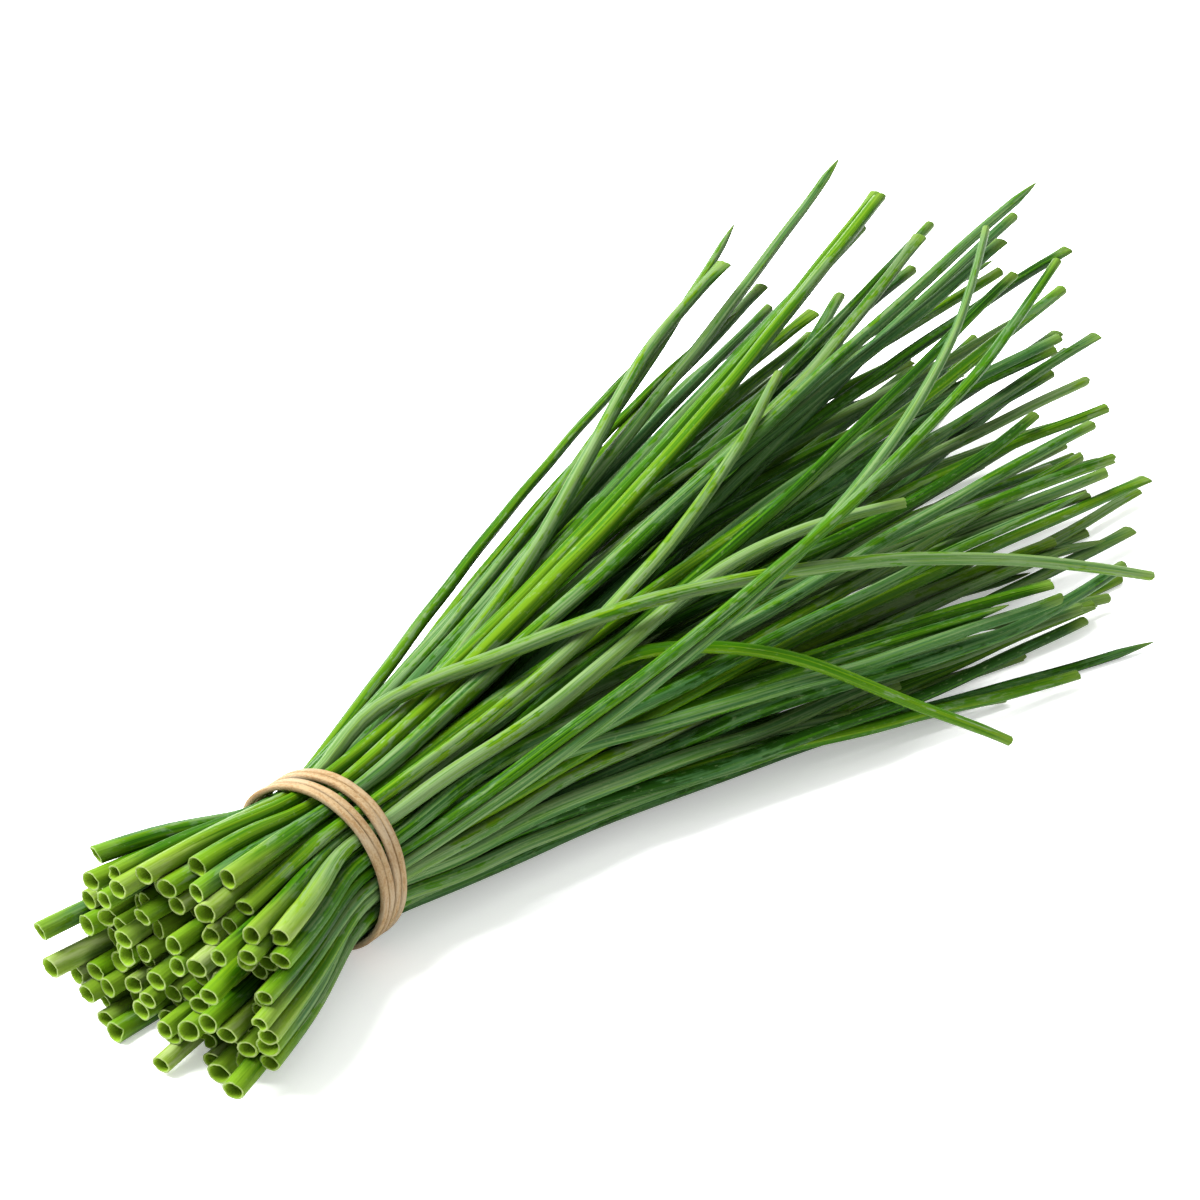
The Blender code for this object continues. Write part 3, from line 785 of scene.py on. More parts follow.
    def ragged(self, leaf: Leaf, run: np.ndarray, inside: np.ndarray, clock: np.ndarray,
               rng: np.random.Generator) -> np.ndarray:
        """Tilts and tears the cut ends.

        Args:
            leaf: the leaf.
            run: how far along each ring is, with the rims proud.
            inside: the same, kept within the leaf.
            clock: the angle of each point of a ring.
            rng: the source of random draws.

        Returns:
            How far each point moves along the leaf.
        """
        moved = np.zeros((len(run), len(clock)))
        for from_end, sign in ((inside, 1), (leaf.length - inside, -1)):
            if sign < 0 and leaf.tip is Tip.GROWN:
                continue
            near = np.clip(1 - from_end / self.ragged_reach, 0, 1) ** 1.5
            tilt = rng.normal() * self.tilt * np.cos(clock - 2 * math.pi * rng.random())
            jag = rng.normal(0, self.jag, len(clock))
            tear = np.zeros(len(clock))
            if rng.random() < self.torn_share:
                where = np.abs((clock - 2 * math.pi * rng.random() + math.pi) % (2 * math.pi) - math.pi)
                deep = (0.5 + rng.random()) * MM
                tear = deep * np.clip(1 - where / (0.45 + 0.3 * rng.random()), 0, 1)
            moved += sign * near[:, None] * (tilt + jag + tear)[None]
        return moved

    def press(self, skins: Sequence[Skin]) -> None:
        """Flattens the leaves where they meet each other, the band and the floor.

        Args:
            skins: the skins of all leaves, changed in place.
        """
        outer = slice(self.shape.outer_first, self.shape.outer_last + 1)
        middle = np.concatenate([skin.middle[outer] for skin in skins])
        onward = np.concatenate([skin.onward[outer] for skin in skins])
        radius = np.concatenate([skin.radius[outer] for skin in skins])
        owner = np.repeat(np.arange(len(skins)), self.shape.outer_last + 1 - self.shape.outer_first)
        ring = np.tile(np.arange(self.shape.outer_first, self.shape.outer_last + 1), len(skins))
        found = []
        for first in range(0, len(middle), self.rows_at_once):
            rows = np.arange(first, min(first + self.rows_at_once, len(middle)))
            between = middle[None] - middle[rows, None]
            near = np.einsum("ijk,ijk->ij", between, between) < (
                radius[rows, None] + radius[None]) ** 2 + self.press_step ** 2
            i, j = np.nonzero(near & (owner[rows, None] != owner[None]))
            gap = between[i, j]
            along = np.einsum("ij,ij->i", gap, onward[j])
            gap = gap - along[:, None] * onward[j]
            gap -= np.einsum("ij,ij->i", gap, onward[rows[i]])[:, None] * onward[rows[i]]
            distance = np.linalg.norm(gap, axis=1)
            touch = (np.abs(along) < self.press_step) & (distance > self.press_nearest) & (
                distance < radius[rows[i]] + radius[j])
            i, j, gap, distance, along = rows[i[touch]], j[touch], gap[touch], distance[touch], along[touch]
            found.append((i, j, gap / distance[:, None], distance, np.abs(along)))
        i, j, toward, distance, along = (np.concatenate([part[k] for part in found]) for k in range(5))
        order = np.lexsort((along, owner[j], i))
        i, j, toward, distance = i[order], j[order], toward[order], distance[order]
        first_of = np.ones(len(i), bool)
        first_of[1:] = (i[1:] != i[:-1]) | (owner[j[1:]] != owner[j[:-1]])
        i, j, toward, distance = i[first_of], j[first_of], toward[first_of], distance[first_of]
        reach = (distance ** 2 + radius[i] ** 2 - radius[j] ** 2) / (2 * distance) - self.press_gap
        for a, direction, limit in zip(i, toward, np.maximum(reach, self.press_least * radius[i])):
            offset = skins[owner[a]].offset[ring[a]]
            over = np.maximum(offset @ direction - limit, 0)
            offset -= over[:, None] * direction
        log.info("pressed %d places where leaves meet", len(i))
        for skin in skins:
            point = skin.middle[:, None] + skin.offset
            out = np.hypot(point[..., 1], point[..., 2] - self.layout.band_height)
            held = np.abs(point[..., 0]) < self.band_half
            shrink = np.where(held, np.minimum(1, self.band_inside / out), 1)
            point[..., 1] *= shrink
            point[..., 2] = (point[..., 2] - self.layout.band_height) * shrink + self.layout.band_height
            point[..., 2] = np.maximum(point[..., 2], 0.5 * self.layout.floor_gap)
            skin.offset = point - skin.middle[:, None]

    def blank(self, count: int) -> bpy.types.Mesh:
        """Straight closed tubes whose points say where they belong: X tells the leaf, Z the ring.

        Args:
            count: how many tubes.

        Returns:
            A mesh of them.
        """
        rings, sides = self.shape.rings, self.shape.sides
        shape = bmesh.new()
        for number in range(count):
            place = Matrix.Translation((BLANK_APART * number, 0, (rings - 1) / 2))
            bmesh.ops.create_cone(shape, cap_ends=True, cap_tris=False, segments=sides, radius1=1, radius2=1,
                                  depth=rings - 1, matrix=place)
        cut_into_rings(shape, rings - 2)
        bmesh.ops.recalc_face_normals(shape, faces=shape.faces)
        return new_mesh("blank_leaves", shape)

    def piece(self, name: str, blank: bpy.types.Mesh, leaves: Sequence[Leaf], skins: Sequence[Skin],
              material: bpy.types.Material) -> bpy.types.Object:
        """Wraps blank tubes into the skins of one leaf or one pair.

        Args:
            name: the piece's name.
            blank: as many blank tubes as there are leaves.
            leaves: the leaves.
            skins: their skins.
            material: the finish.

        Returns:
            The finished object.
        """
        mesh = blank.copy()
        mesh.name = name
        count = len(mesh.vertices)
        flat = np.zeros(count * 3, np.float32)
        mesh.vertices.foreach_get("co", flat)
        flat = flat.reshape(-1, 3)
        which = np.rint(flat[:, 0] / BLANK_APART).astype(int)
        ring = np.rint(flat[:, 2]).astype(int)
        around = np.arctan2(flat[:, 1], flat[:, 0] - BLANK_APART * which)
        side = np.rint(around / (2 * math.pi) * self.shape.sides)
        side = side.astype(int) % self.shape.sides
        point = np.stack([skin.middle[:, None] + skin.offset for skin in skins])[which, ring, side]
        mesh.vertices.foreach_set("co", point.astype(np.float32).ravel())
        self.mark(mesh, leaves, skins, which, ring, side)
        mesh.shade_smooth()
        mesh.materials.append(material)
        mesh.update()
        return put_in_scene(name, mesh)

    def mark(self, mesh: bpy.types.Mesh, leaves: Sequence[Leaf], skins: Sequence[Skin], which: np.ndarray,
             ring: np.ndarray, side: np.ndarray) -> None:
        """Writes on the skin what the finish reads: the place on the leaf, its ends and the leaf's traits.

        Args:
            mesh: the piece's mesh.
            leaves: its leaves.
            skins: their skins.
            which: the leaf that each point is on.
            ring: the ring that each point is on.
            side: the side that each point is on.
        """
        turn = 2 * math.pi * side / self.shape.sides
        run = np.stack([skin.run for skin in skins])[which, ring]
        length = np.array([leaf.length for leaf in leaves])[which]
        inside = self.shape.walls_in()[ring]
        start = np.array([leaf.start for leaf in leaves])[which]
        cover, light, pale = np.array([leaf.look for leaf in leaves])[which].T
        base = self.layout.leaf_radius
        marks = {
            "leaf_place": (base * np.cos(turn), base * np.sin(turn), run + self.pattern_shift * start),
            "leaf_ends": (run, length - run, inside),
            "leaf_look": (cover, light, pale),
        }
        for name, parts in marks.items():
            attribute = mesh.attributes.new(name, "FLOAT_VECTOR", "POINT")
            attribute.data.foreach_set("vector", np.stack(parts, axis=1).astype(np.float32).ravel())

    def build(self, finish: "LeafFinish") -> None:
        """Builds and dresses every leaf piece.

        Args:
            finish: the finish of the leaves.
        """
        material = finish.material()
        leaves = self.grown()
        skins = [self.skin(leaf) for leaf in leaves]
        self.press(skins)
        one, two = self.blank(1), self.blank(2)
        for number, stray in enumerate(STRAYS):
            self.place(stray.name, one, leaves[number:number + 1], skins[number:number + 1], material)
        for pair in range(self.layout.pairs):
            first = len(STRAYS) + 2 * pair
            both = slice(first, first + 2)
            self.place(f"leaf_pair_{pair + 1:02d}", two, leaves[both], skins[both], material)
        bpy.data.meshes.remove(one)
        bpy.data.meshes.remove(two)

    def place(self, node: str, blank: bpy.types.Mesh, leaves: Sequence[Leaf], skins: Sequence[Skin],
              material: bpy.types.Material) -> None:
        """Builds the piece that stands for one leaf node.

        Args:
            node: the node's name.
            blank: as many blank tubes as there are leaves.
            leaves: the leaves.
            skins: their skins.
            material: the finish.
        """
        piece = self.piece(f"grown_{node}", blank, leaves, skins, material)
        low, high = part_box(node)
        points = np.concatenate([leaf.points for leaf in leaves])
        slack = max(max(low[k] - points[:, k].min(), points[:, k].max() - high[k]) for k in range(3))
        if slack > 0.1 * MM:
            log.warning("%s lies %.2f mm outside its node", node, slack / MM)
        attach(piece, BODY)
        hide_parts(node)
        log.info("%s: %d faces", piece.name, len(piece.data.polygons))


# -------------------- the rubber band


@dataclass(frozen=True)
class RubberBand:
    """The band: one strand wound four times, that crosses back over itself behind the bunch."""

    bundle_radius: float = 16.3 * MM
    clearance: float = 0.3 * MM
    width: float = 1.66 * MM
    thickness: float = 1.34 * MM
    frame_thickness: float = 1.3 * MM
    pitch: float = 1.72 * MM
    pair_gap: float = 1.6 * MM
    pair_gap_clock: float = 112.0
    pair_gap_span: float = 50.0
    turns: int = 4
    frame_steps: int = 20
    start_step: int = -4
    crossing_steps: int = 3
    rise_steps: int = 1
    crossing_lift: float = 1.7 * MM
    loop_turn: float = 0.31
    loop_span: float = 0.055
    loop_out: float = 0.9 * MM
    loop_lift: float = 0.2 * MM
    steps: int = 110
    sides: int = 16
    squareness: float = 3.0
    lump: float = 0.03
    lumps: tuple[int, int] = (23, 41)
    stray_waves: int = 9
    stray_reach: float = 0.06 * MM
    weld: float = 0.004 * MM
    seed: int = 7
    floor_gap: float = 0.02 * MM

    @property
    def radius(self) -> float:
        """From the middle of the band to the middle of its strand."""
        return self.bundle_radius + self.clearance + self.frame_thickness / 2

    @property
    def height(self) -> float:
        """How high the middle of the band is above the floor."""
        return (self.radius + self.frame_thickness / 2) * math.cos(math.pi / self.frame_steps)

    def station(self, turn: float) -> tuple[float, float, float]:
        """Where the strand is after some turns.

        Args:
            turn: how many turns it has made.

        Returns:
            Its clock angle, its place along X and its distance from the middle of the band.
        """
        turn %= self.turns
        step = turn * self.frame_steps - 0.5
        if step < 0:
            step += self.turns * self.frame_steps
            turn += self.turns
        clock = 2 * math.pi * (turn + self.start_step / self.frame_steps)
        crossing = self.crossing_steps + 2 * self.rise_steps
        if step < crossing:
            back = min(max((self.crossing_steps + self.rise_steps - step) / self.crossing_steps, 0), 1)
            lift = min(1.0, (crossing - step) / self.rise_steps)
            wound = turn + self.turns * smooth_step(back)
        else:
            lift = max(0.0, (step + self.rise_steps - self.turns * self.frame_steps) / self.rise_steps)
            wound = turn
        loop = math.exp(-((turn - self.loop_turn) / self.loop_span) ** 2)
        off_middle = (math.degrees(clock) - self.pair_gap_clock + 180) % 360 - 180
        parting = self.pair_gap * math.exp(-(off_middle / self.pair_gap_span) ** 2)
        parting *= smooth_step((wound - self.turns / 2) / 0.3 + 0.5)
        resting_turn = 1.75 - self.start_step / self.frame_steps
        x = self.pitch * (wound - resting_turn) + parting - self.loop_out * loop
        lift = max(self.crossing_lift * smooth_step(lift), self.loop_lift * loop)
        return clock, x, self.radius + lift

    def build(self, finish: "RubberFinish") -> None:
        """Builds and dresses the band.

        Args:
            finish: the finish of the rubber.
        """
        rings = self.turns * self.steps
        shape = bmesh.new()
        bmesh.ops.create_cone(shape, cap_ends=False, segments=self.sides, radius1=1, radius2=1, depth=rings,
                              matrix=Matrix.Translation((0, 0, rings / 2)))
        cut_into_rings(shape, rings - 1)
        rng = np.random.default_rng(self.seed)
        phases = rng.random(3) * 2 * math.pi
        place = shape.verts.layers.float_vector.new("strand_place")
        for vert in shape.verts:
            ring = vert.co.z
            turn = ring / self.steps
            around = math.atan2(vert.co.y, vert.co.x)
            clock, x, radius = self.station(turn)
            cos, sin = math.cos(around), math.sin(around)
            power = 2 / self.squareness
            wide = math.copysign(abs(cos) ** power, cos) * self.width / 2
            out = math.copysign(abs(sin) ** power, sin) * self.thickness / 2
            way = 2 * math.pi * turn / self.turns
            slow, quick = (math.sin(waves * way + phase) for waves, phase in zip(self.lumps, phases))
            lump = 1 + self.lump * slow + self.lump * quick
            x += self.stray_reach * math.sin(self.stray_waves * way + phases[2])
            reach = radius + out * lump
            vert[place] = (self.width / 2 * cos, self.thickness / 2 * sin, self.radius * 2 * math.pi * turn)
            up = max(self.height + reach * math.sin(clock), self.floor_gap)
            vert.co = (x + wide * lump, reach * math.cos(clock), up)
        bmesh.ops.remove_doubles(shape, verts=shape.verts, dist=self.weld)
        bmesh.ops.recalc_face_normals(shape, faces=shape.faces)
        mesh = new_mesh("wound_rubber_band", shape)
        mesh.shade_smooth()
        mesh.materials.append(finish.material())
        band = put_in_scene("wound_rubber_band", mesh)
        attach(band, BODY)
        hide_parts("rubber_band")
        log.info("%s: %d faces", band.name, len(mesh.polygons))


# -------------------- the finishes


class Wiring:
    """Adds and joins the nodes of one tree."""

    def __init__(self, tree: bpy.types.NodeTree) -> None:
        """Takes the node tree to work on."""
        self.tree = tree

    def add(self, kind: str, inputs: dict | None = None, **settings: object) -> bpy.types.Node:
        """Adds a node.

        Args:
            kind: the node's type.
            inputs: what its inputs take, by name or number: an output socket or a value.
            settings: the node's own settings.

        Returns:
            The node.
        """
        node = self.tree.nodes.new(kind)
        for name, value in settings.items():
            setattr(node, name, value)
        self.feed(node, inputs or {})
        return node

    def feed(self, node: bpy.types.Node, inputs: dict) -> None:
        """Gives a node's inputs what they take: an output socket or a value each."""
        for name, value in inputs.items():
            if isinstance(value, bpy.types.NodeSocket):
                self.tree.links.new(value, node.inputs[name])
            else:
                node.inputs[name].default_value = value

    def sum(self, operation: str, first: object, second: object = 0.0,
            third: object = 0.0) -> bpy.types.NodeSocket:
        """Works out a value from others.

        Args:
            operation: what to do with them.
            first: a socket or number.
            second: a socket or number.
            third: a socket or number.

        Returns:
            The result.
        """
        return self.add("ShaderNodeMath", {0: first, 1: second, 2: third}, operation=operation).outputs[0]

    def ramp(self, value: object, low: object, high: object, to_low: float = 0.0,
             to_high: float = 1.0) -> bpy.types.NodeSocket:
        """Eases from one value to another as an input goes from low to high.

        Args:
            value: the input.
            low: where the ease begins.
            high: where it ends.
            to_low: the result up to low.
            to_high: the result from high.

        Returns:
            The result.
        """
        inputs = {"Value": value, "From Min": low, "From Max": high, "To Min": to_low, "To Max": to_high}
        return self.add("ShaderNodeMapRange", inputs, interpolation_type="SMOOTHSTEP").outputs["Result"]

    def mix(self, share: object, first: object, second: object) -> bpy.types.NodeSocket:
        """Mixes two colours.

        Args:
            share: how much of the second, from 0 to 1.
            first: a socket or colour.
            second: a socket or colour.

        Returns:
            The mixed colour.
        """
        first, second = ((*part, 1.0) if isinstance(part, tuple) else part for part in (first, second))
        return self.add("ShaderNodeMix", {0: share, 6: first, 7: second}, data_type="RGBA").outputs[2]

    def noise(self, place: bpy.types.NodeSocket, stretch: Colour, detail: float = 2.0, rough: float = 0.5,
              warp: float = 0.0) -> bpy.types.NodeSocket:
        """A cloudy pattern.

        Args:
            place: where on the surface, in metres.
            stretch: how many patches there are in a metre each way.
            detail: how many finer layers it has.
            rough: how strong these are.
            warp: how much it is stirred.

        Returns:
            The pattern, about 0.5 on average.
        """
        scaled = self.add("ShaderNodeVectorMath", {0: place, 1: stretch}, operation="MULTIPLY").outputs[0]
        inputs = {"Vector": scaled, "Scale": 1.0, "Detail": detail, "Roughness": rough, "Distortion": warp}
        return self.add("ShaderNodeTexNoise", inputs).outputs["Fac"]

    def parts(self, vector: bpy.types.NodeSocket) -> tuple[bpy.types.NodeSocket, ...]:
        """The three parts of a vector."""
        return tuple(self.add("ShaderNodeSeparateXYZ", {0: vector}).outputs)

    def attribute(self, name: str) -> bpy.types.NodeSocket:
        """A vector that is written on the piece under that name."""
        node = self.add("ShaderNodeAttribute", attribute_name=name, attribute_type="GEOMETRY")
        return node.outputs["Vector"]


def new_material(name: str) -> tuple[bpy.types.Material, Wiring, bpy.types.Node]:
    """Starts a material: the material, its wiring and its shader."""
    made = bpy.data.materials.new(name)
    made.use_nodes = True
    return made, Wiring(made.node_tree), made.node_tree.nodes["Principled BSDF"]


def new_group(name: str, inputs: dict[str, str],
              outputs: dict[str, str]) -> tuple[bpy.types.NodeTree, Wiring]:
    """Starts a group of shader nodes.

    Args:
        name: the group's name.
        inputs: the kind of each input, by name.
        outputs: the kind of each output, by name.

    Returns:
        The group and its wiring.
    """
    tree = bpy.data.node_groups.new(name, "ShaderNodeTree")
    for way, sockets in (("INPUT", inputs), ("OUTPUT", outputs)):
        for label, kind in sockets.items():
            tree.interface.new_socket(name=label, in_out=way, socket_type=kind)
    return tree, Wiring(tree)


FLOAT, VECTOR, COLOUR = "NodeSocketFloat", "NodeSocketVector", "NodeSocketColor"


def wax_and_glint_group() -> bpy.types.NodeTree:
    """The wax on a leaf: long patches with worn edges, rubbed through in streaks; and painted glints, pale
    flecks that stand in for thin broken highlights.
    """
    tree, wire = new_group("wax_bloom_and_painted_glints", {"Place": VECTOR, "Cover": FLOAT}, {"Wax": FLOAT, "Painted glints": FLOAT})
    start = wire.add("NodeGroupInput")
    place, cover = start.outputs["Place"], start.outputs["Cover"]
    patches = wire.noise(place, (300, 300, 48), 3.0, 0.6, 0.3)
    rubs = wire.noise(place, (620, 620, 210), 3.0, 0.62, 0.2)
    streaks = wire.noise(place, (1500, 1500, 38), 3.0, 0.65)
    blend = wire.sum("ADD", wire.sum("MULTIPLY", patches, 0.42),
                     wire.sum("ADD", wire.sum("MULTIPLY", streaks, 0.26), wire.sum("MULTIPLY", rubs, 0.32)))
    edge = wire.sum("SUBTRACT", 0.600, wire.sum("MULTIPLY", cover, 0.19))
    wax = wire.ramp(blend, wire.sum("SUBTRACT", edge, 0.014), wire.sum("ADD", edge, 0.022))
    combed = wire.ramp(wire.noise(place, (1900, 1900, 60), 2.0, 0.7), 0.36, 0.60, 0.38, 1.0)
    wax = wire.sum("MULTIPLY", wax, combed)
    # Painted glints: pale flecks that stand in for thin broken highlights on the wax.
    painted_glints = wire.ramp(wire.noise(place, (1500, 1500, 420), 3.0, 0.7), 0.60, 0.66)
    wire.add("NodeGroupOutput", {"Wax": wax, "Painted glints": painted_glints})
    return tree


def ribs_group() -> bpy.types.NodeTree:
    """The fine lines that run along a leaf, as heights and as a change of tone."""
    tree, wire = new_group("lengthwise_ribs", {"Place": VECTOR}, {"Height": FLOAT, "Tone": FLOAT})
    place = wire.add("NodeGroupInput").outputs["Place"]
    coarse = wire.noise(place, (1250, 1250, 9), 2.0, 0.6)
    fine = wire.noise(place, (3000, 3000, 24), 2.0, 0.6)
    height = wire.sum("ADD", wire.sum("MULTIPLY", coarse, 0.7), wire.sum("MULTIPLY", fine, 0.3))
    halves = wire.sum("ADD", wire.sum("MULTIPLY", coarse, 0.5), wire.sum("MULTIPLY", fine, 0.5))
    tone = wire.ramp(halves, 0.38, 0.62)
    wire.add("NodeGroupOutput", {"Height": height, "Tone": tone})
    return tree


def ends_group() -> bpy.types.NodeTree:
    """Where a leaf is near its cut end, its tip, its rim or inside its bore, with uneven edges."""
    tree, wire = new_group(
        "leaf_ends", {"Ends": VECTOR, "Place": VECTOR, "Reach": FLOAT},
        {"Base": FLOAT, "Frost and highlight": FLOAT, "Tip": FLOAT, "Rim": FLOAT, "Bore": FLOAT})
    start = wire.add("NodeGroupInput")
    from_cut, from_tip, inside = wire.parts(start.outputs["Ends"])
    uneven = wire.sum("SUBTRACT", wire.noise(start.outputs["Place"], (800, 800, 55), 3.0, 0.6), 0.5)
    away = wire.sum("MULTIPLY_ADD", wire.sum("MULTIPLY", uneven, 1.6), start.outputs["Reach"], from_cut)
    base = wire.ramp(away, 0.0, start.outputs["Reach"], 1.0, 0.0)
    worn = wire.ramp(wire.noise(start.outputs["Place"], (900, 900, 90), 3.0, 0.7), 0.40, 0.62)
    # Pale worn patches near the cut end: partly real frost on the wax, partly a painted highlight.
    frost_and_highlight_reach = wire.sum("MULTIPLY", start.outputs["Reach"], 0.6)
    frost_and_highlight = wire.sum("MULTIPLY", wire.ramp(away, 0.0, frost_and_highlight_reach, 1.0, 0.0), worn)
    tip = wire.ramp(wire.sum("MULTIPLY_ADD", uneven, 0.006, from_tip), 0.0, 0.007, 1.0, 0.0)
    rim = wire.sum("MULTIPLY", wire.ramp(inside, 0.02, 0.14), wire.ramp(inside, 0.86, 1.0, 1.0, 0.0))
    rim = wire.sum("MULTIPLY", rim, wire.sum("MULTIPLY_ADD", worn, 0.55, 0.45))
    bore = wire.ramp(inside, 0.92, 1.0)
    wire.add("NodeGroupOutput", {"Base": base, "Frost and highlight": frost_and_highlight, "Tip": tip, "Rim": rim, "Bore": bore})
    return tree


@dataclass(frozen=True)
class LeafFinish:
    """Fresh chive leaf: bare green under a bluish wax, rubbed off in patches, and paler by the cut end; the
    inside of its bore is painted brighter, as if lit through the thin wall.
    """

    shaded: Colour = lit(38, 92, 6)
    deep: Colour = lit(80, 152, 6)
    bright: Colour = lit(142, 194, 26)
    wax_low: Colour = lit(88, 148, 80)
    wax_high: Colour = lit(170, 205, 140)
    painted_glint: Colour = lit(206, 230, 160)
    # A painted highlight: the pale colour of the flecks that are put where glints would be.
    base_green: Colour = lit(144, 206, 26)
    base_pale: Colour = lit(192, 228, 76)
    # Pale frost near the cut end, partly real and partly a painted highlight.
    frost_and_highlight: Colour = lit(222, 246, 156)
    rim: Colour = lit(212, 237, 146)
    # The inside of the cut tube: pale green, painted brighter to stand in for light that shines through the
    # thin wall.
    bore: Colour = lit(192, 246, 62)
    tip: Colour = lit(168, 206, 84)
    roughness_bare: float = 0.36
    roughness_wax: float = 0.60
    shine: float = 0.045
    rib_depth: float = 0.30 * MM

    def material(self) -> bpy.types.Material:
        """Builds the material.

        Returns:
            The leaf material.
        """
        made, wire, shader = new_material("chive_leaf")
        place, ends, look = (wire.attribute(name) for name in ("leaf_place", "leaf_ends", "leaf_look"))
        cover, light, pale = wire.parts(look)
        from_cut = wire.parts(ends)[0]
        thicker = wire.ramp(from_cut, 0.006, 0.07, -0.22, 0.04)
        wax_and_glints = wire.add("ShaderNodeGroup", node_tree=wax_and_glint_group(),
                         inputs={"Place": place, "Cover": wire.sum("ADD", cover, thicker)})
        ribs = wire.add("ShaderNodeGroup", node_tree=ribs_group(), inputs={"Place": place})
        reach = wire.sum("MULTIPLY_ADD", wire.sum("POWER", pale, 3.0), 0.028, 0.009)
        ended = wire.add("ShaderNodeGroup", node_tree=ends_group(),
                         inputs={"Ends": ends, "Place": place, "Reach": reach})
        tone = wire.sum("MULTIPLY_ADD", wire.sum("SUBTRACT", ribs.outputs["Tone"], 0.5), 0.72, light)
        bare = wire.mix(wire.ramp(tone, 0.0, 0.45), self.shaded, self.deep)
        bare = wire.mix(wire.ramp(tone, 0.4, 1.15), bare, self.bright)
        wax = wire.mix(wire.ramp(tone, 0.0, 1.0), self.wax_low, self.wax_high)
        colour = wire.mix(wire.sum("MULTIPLY", wax_and_glints.outputs["Wax"], 0.86), bare, wax)
        # Painted highlights: pale flecks mixed into the colour where thin broken glints would be.
        colour = wire.mix(wire.sum("MULTIPLY", wax_and_glints.outputs["Painted glints"], 0.22), colour, self.painted_glint)
        base = wire.mix(pale, self.base_green, self.base_pale)
        colour = wire.mix(wire.sum("MULTIPLY", ended.outputs["Base"], 0.8), colour, base)
        # Frost near the cut end on the paler leaves: partly real, partly a painted highlight.
        colour = wire.mix(wire.sum("MULTIPLY", ended.outputs["Frost and highlight"], wire.ramp(pale, 0.6, 1.0)), colour,
                          self.frost_and_highlight)
        colour = wire.mix(wire.sum("MULTIPLY", ended.outputs["Tip"], 0.5), colour, self.tip)
        # Inside the bore: its pale green, painted brighter as if lit through the wall.
        colour = wire.mix(ended.outputs["Bore"], colour, self.bore)
        colour = wire.mix(ended.outputs["Rim"], colour, self.rim)
        rough = wire.sum("MULTIPLY_ADD", wax_and_glints.outputs["Wax"], self.roughness_wax - self.roughness_bare,
                         self.roughness_bare)
        bump = wire.add("ShaderNodeBump", {"Height": ribs.outputs["Height"], "Strength": 1.0,
                                           "Distance": self.rib_depth})
        wire.feed(shader, {"Base Color": colour, "Roughness": rough, "Normal": bump.outputs["Normal"],
                           "Specular IOR Level": self.shine, "Metallic": 0.0})
        return made


@dataclass(frozen=True)
class RubberFinish:
    """Natural tan rubber: matt, with cut marks along the strand and a dusting of powder."""

    tan: Colour = lit(252, 218, 166)
    dark: Colour = lit(222, 178, 122)
    powder: Colour = lit(255, 238, 206)
    roughness: float = 0.65
    shine: float = 0.06
    grain: float = 0.16 * MM

    def material(self) -> bpy.types.Material:
        """Builds the material.

        Returns:
            The rubber material.
        """
        made, wire, shader = new_material("tan_rubber")
        place = wire.attribute("strand_place")
        marks = wire.noise(place, (1500, 1500, 240), 3.0, 0.6)
        grain = wire.noise(place, (2600, 2600, 2000), 3.0, 0.75)
        cloud = wire.noise(place, (500, 500, 90), 2.0, 0.5)
        streaked = wire.sum("ADD", wire.sum("MULTIPLY", marks, 0.5), wire.sum("MULTIPLY", grain, 0.5))
        colour = wire.mix(wire.ramp(streaked, 0.40, 0.56), self.dark, self.tan)
        colour = wire.mix(wire.sum("MULTIPLY", wire.ramp(cloud, 0.45, 0.7), 0.5), colour, self.powder)
        bump = wire.add("ShaderNodeBump", {"Height": streaked, "Strength": 1.0, "Distance": self.grain})
        wire.feed(shader, {"Base Color": colour, "Normal": bump.outputs["Normal"],
                           "Roughness": self.roughness, "Specular IOR Level": self.shine})
        return made


# -------------------- the studio


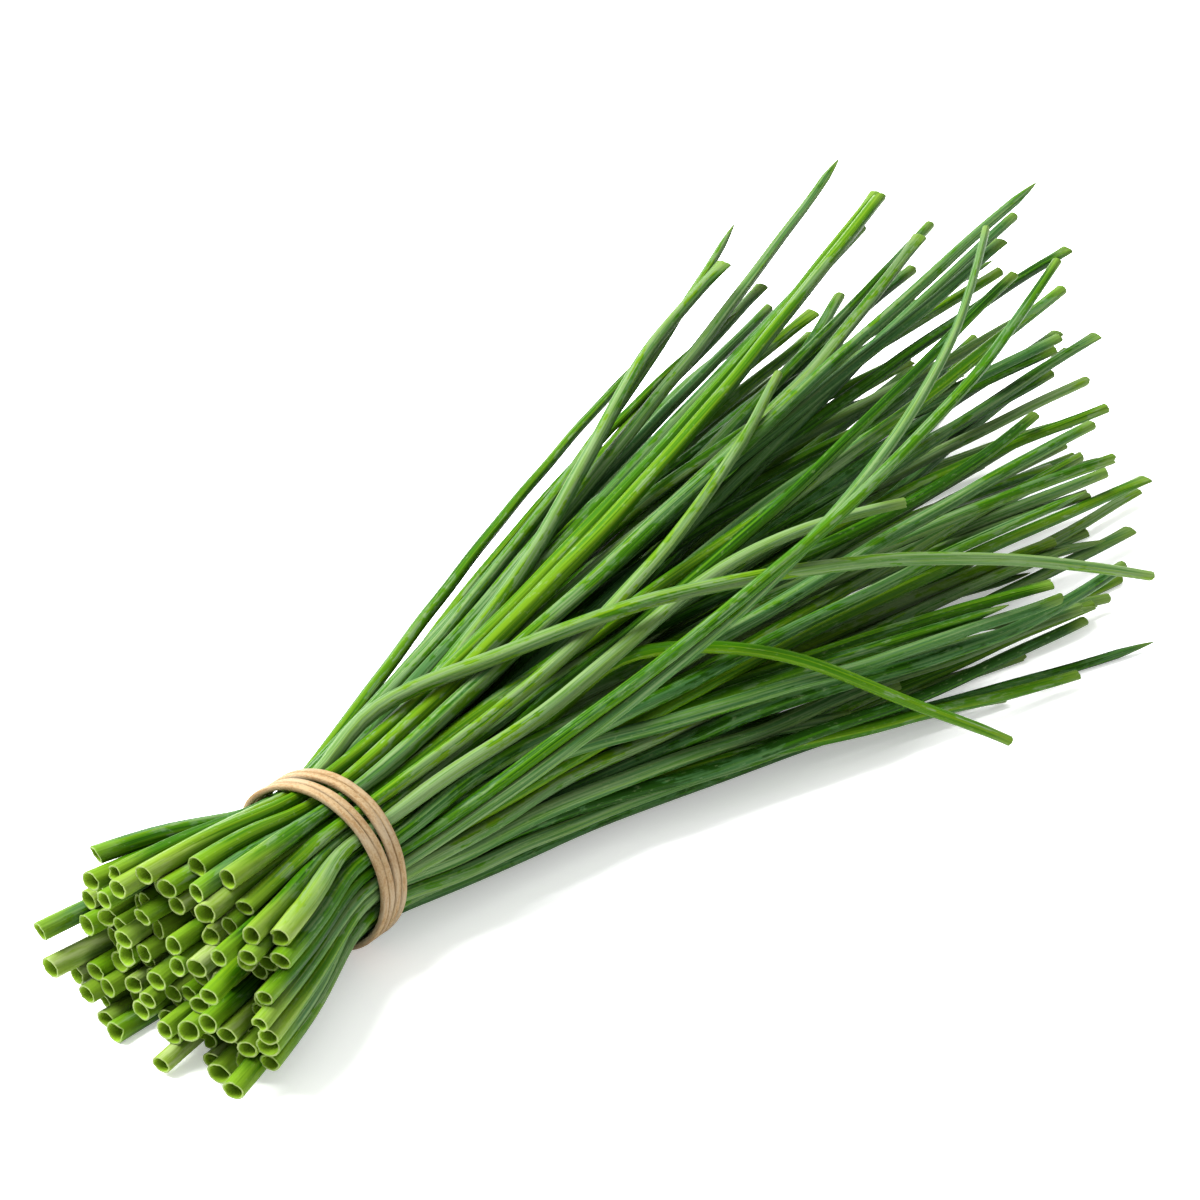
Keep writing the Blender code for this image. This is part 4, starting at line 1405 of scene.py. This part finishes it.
@dataclass(frozen=True)
class Studio:
    """A pale floor, soft light from the far side and above, and the camera."""

    azimuth: float = -52.24
    elevation: float = 31.22
    distance: float = 1105 * MM
    aim: Colour = (108.4 * MM, 17.0 * MM, 17.7 * MM)
    lens: float = 161.1
    clip_end: float = 40.0
    floor_size: float = 16.0
    floor_shade: float = 0.93
    floor_glow: float = 0.32
    sky: float = 0.96
    sun: float = 13.5
    sun_azimuth: float = 196.0
    sun_elevation: float = 54.0
    sun_spread: float = 48.0

    @staticmethod
    def direction(azimuth: float, elevation: float) -> Vector:
        """The way out from the bunch at an angle round it from the near side (-Y) and one above the floor."""
        a, e = math.radians(azimuth), math.radians(elevation)
        return Vector((math.sin(a) * math.cos(e), -math.cos(a) * math.cos(e), math.sin(e)))

    def build(self) -> None:
        """Builds the floor, the light and the camera."""
        shape = bmesh.new()
        bmesh.ops.create_grid(shape, x_segments=1, y_segments=1, size=self.floor_size / 2)
        mesh = new_mesh("pale_floor", shape)
        mesh.materials.append(self.floor_material())
        put_in_scene("pale_floor", mesh)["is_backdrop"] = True

        world = bpy.data.worlds.new("studio")
        world.use_nodes = True
        backdrop = world.node_tree.nodes["Background"]
        backdrop.inputs["Color"].default_value = (1, 1, 1, 1)
        backdrop.inputs["Strength"].default_value = self.sky
        bpy.context.scene.world = world

        lamp = bpy.data.lights.new("soft_key", "SUN")
        lamp.energy = self.sun
        lamp.angle = math.radians(self.sun_spread)
        key = put_in_scene("soft_key", lamp)
        toward = self.direction(self.sun_azimuth, self.sun_elevation)
        key.rotation_mode = "QUATERNION"
        key.rotation_quaternion = toward.to_track_quat("Z", "Y")

        lens = bpy.data.cameras.new("camera")
        lens.lens = self.lens
        lens.clip_end = self.clip_end
        camera = put_in_scene("camera", lens)
        back = self.direction(self.azimuth, self.elevation)
        camera.location = Vector(self.aim) + back * self.distance
        camera.rotation_mode = "QUATERNION"
        camera.rotation_quaternion = back.to_track_quat("Z", "Y")
        bpy.context.scene.camera = camera
        bpy.context.scene.view_settings.view_transform = "Standard"

    def floor_material(self) -> bpy.types.Material:
        """A matt white with the faintest unevenness.

        Returns:
            The floor material.
        """
        made, wire, shader = new_material("pale_floor")
        place = wire.add("ShaderNodeTexCoord").outputs["Object"]
        cloud = wire.noise(place, (6, 6, 6), 3.0, 0.5)
        shade = self.floor_shade
        colour = wire.mix(cloud, (shade, shade, shade), (shade * 0.995, shade, shade * 0.995))
        wire.feed(shader, {"Base Color": colour, "Roughness": 0.9, "Specular IOR Level": 0.0,
                           "Emission Color": (1, 1, 1, 1), "Emission Strength": self.floor_glow})
        return made


def main() -> None:
    """Builds the bunch, its finishes and the studio."""
    logging.basicConfig(level=logging.INFO, format="%(name)s: %(message)s")
    cad_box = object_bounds()
    band = RubberBand()
    layout = BunchLayout(band_height=band.height)
    Leaves(layout).build(LeafFinish())
    band.build(RubberFinish())
    Studio().build()
    boxes = {"cad": cad_box, "visual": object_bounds()}
    for name, (low, high) in boxes.items():
        corners = [[round(c / MM, 1) for c in corner] for corner in (low, high)]
        log.info("%s box %s to %s mm", name, *corners)


if __name__ == "__main__":
    main()
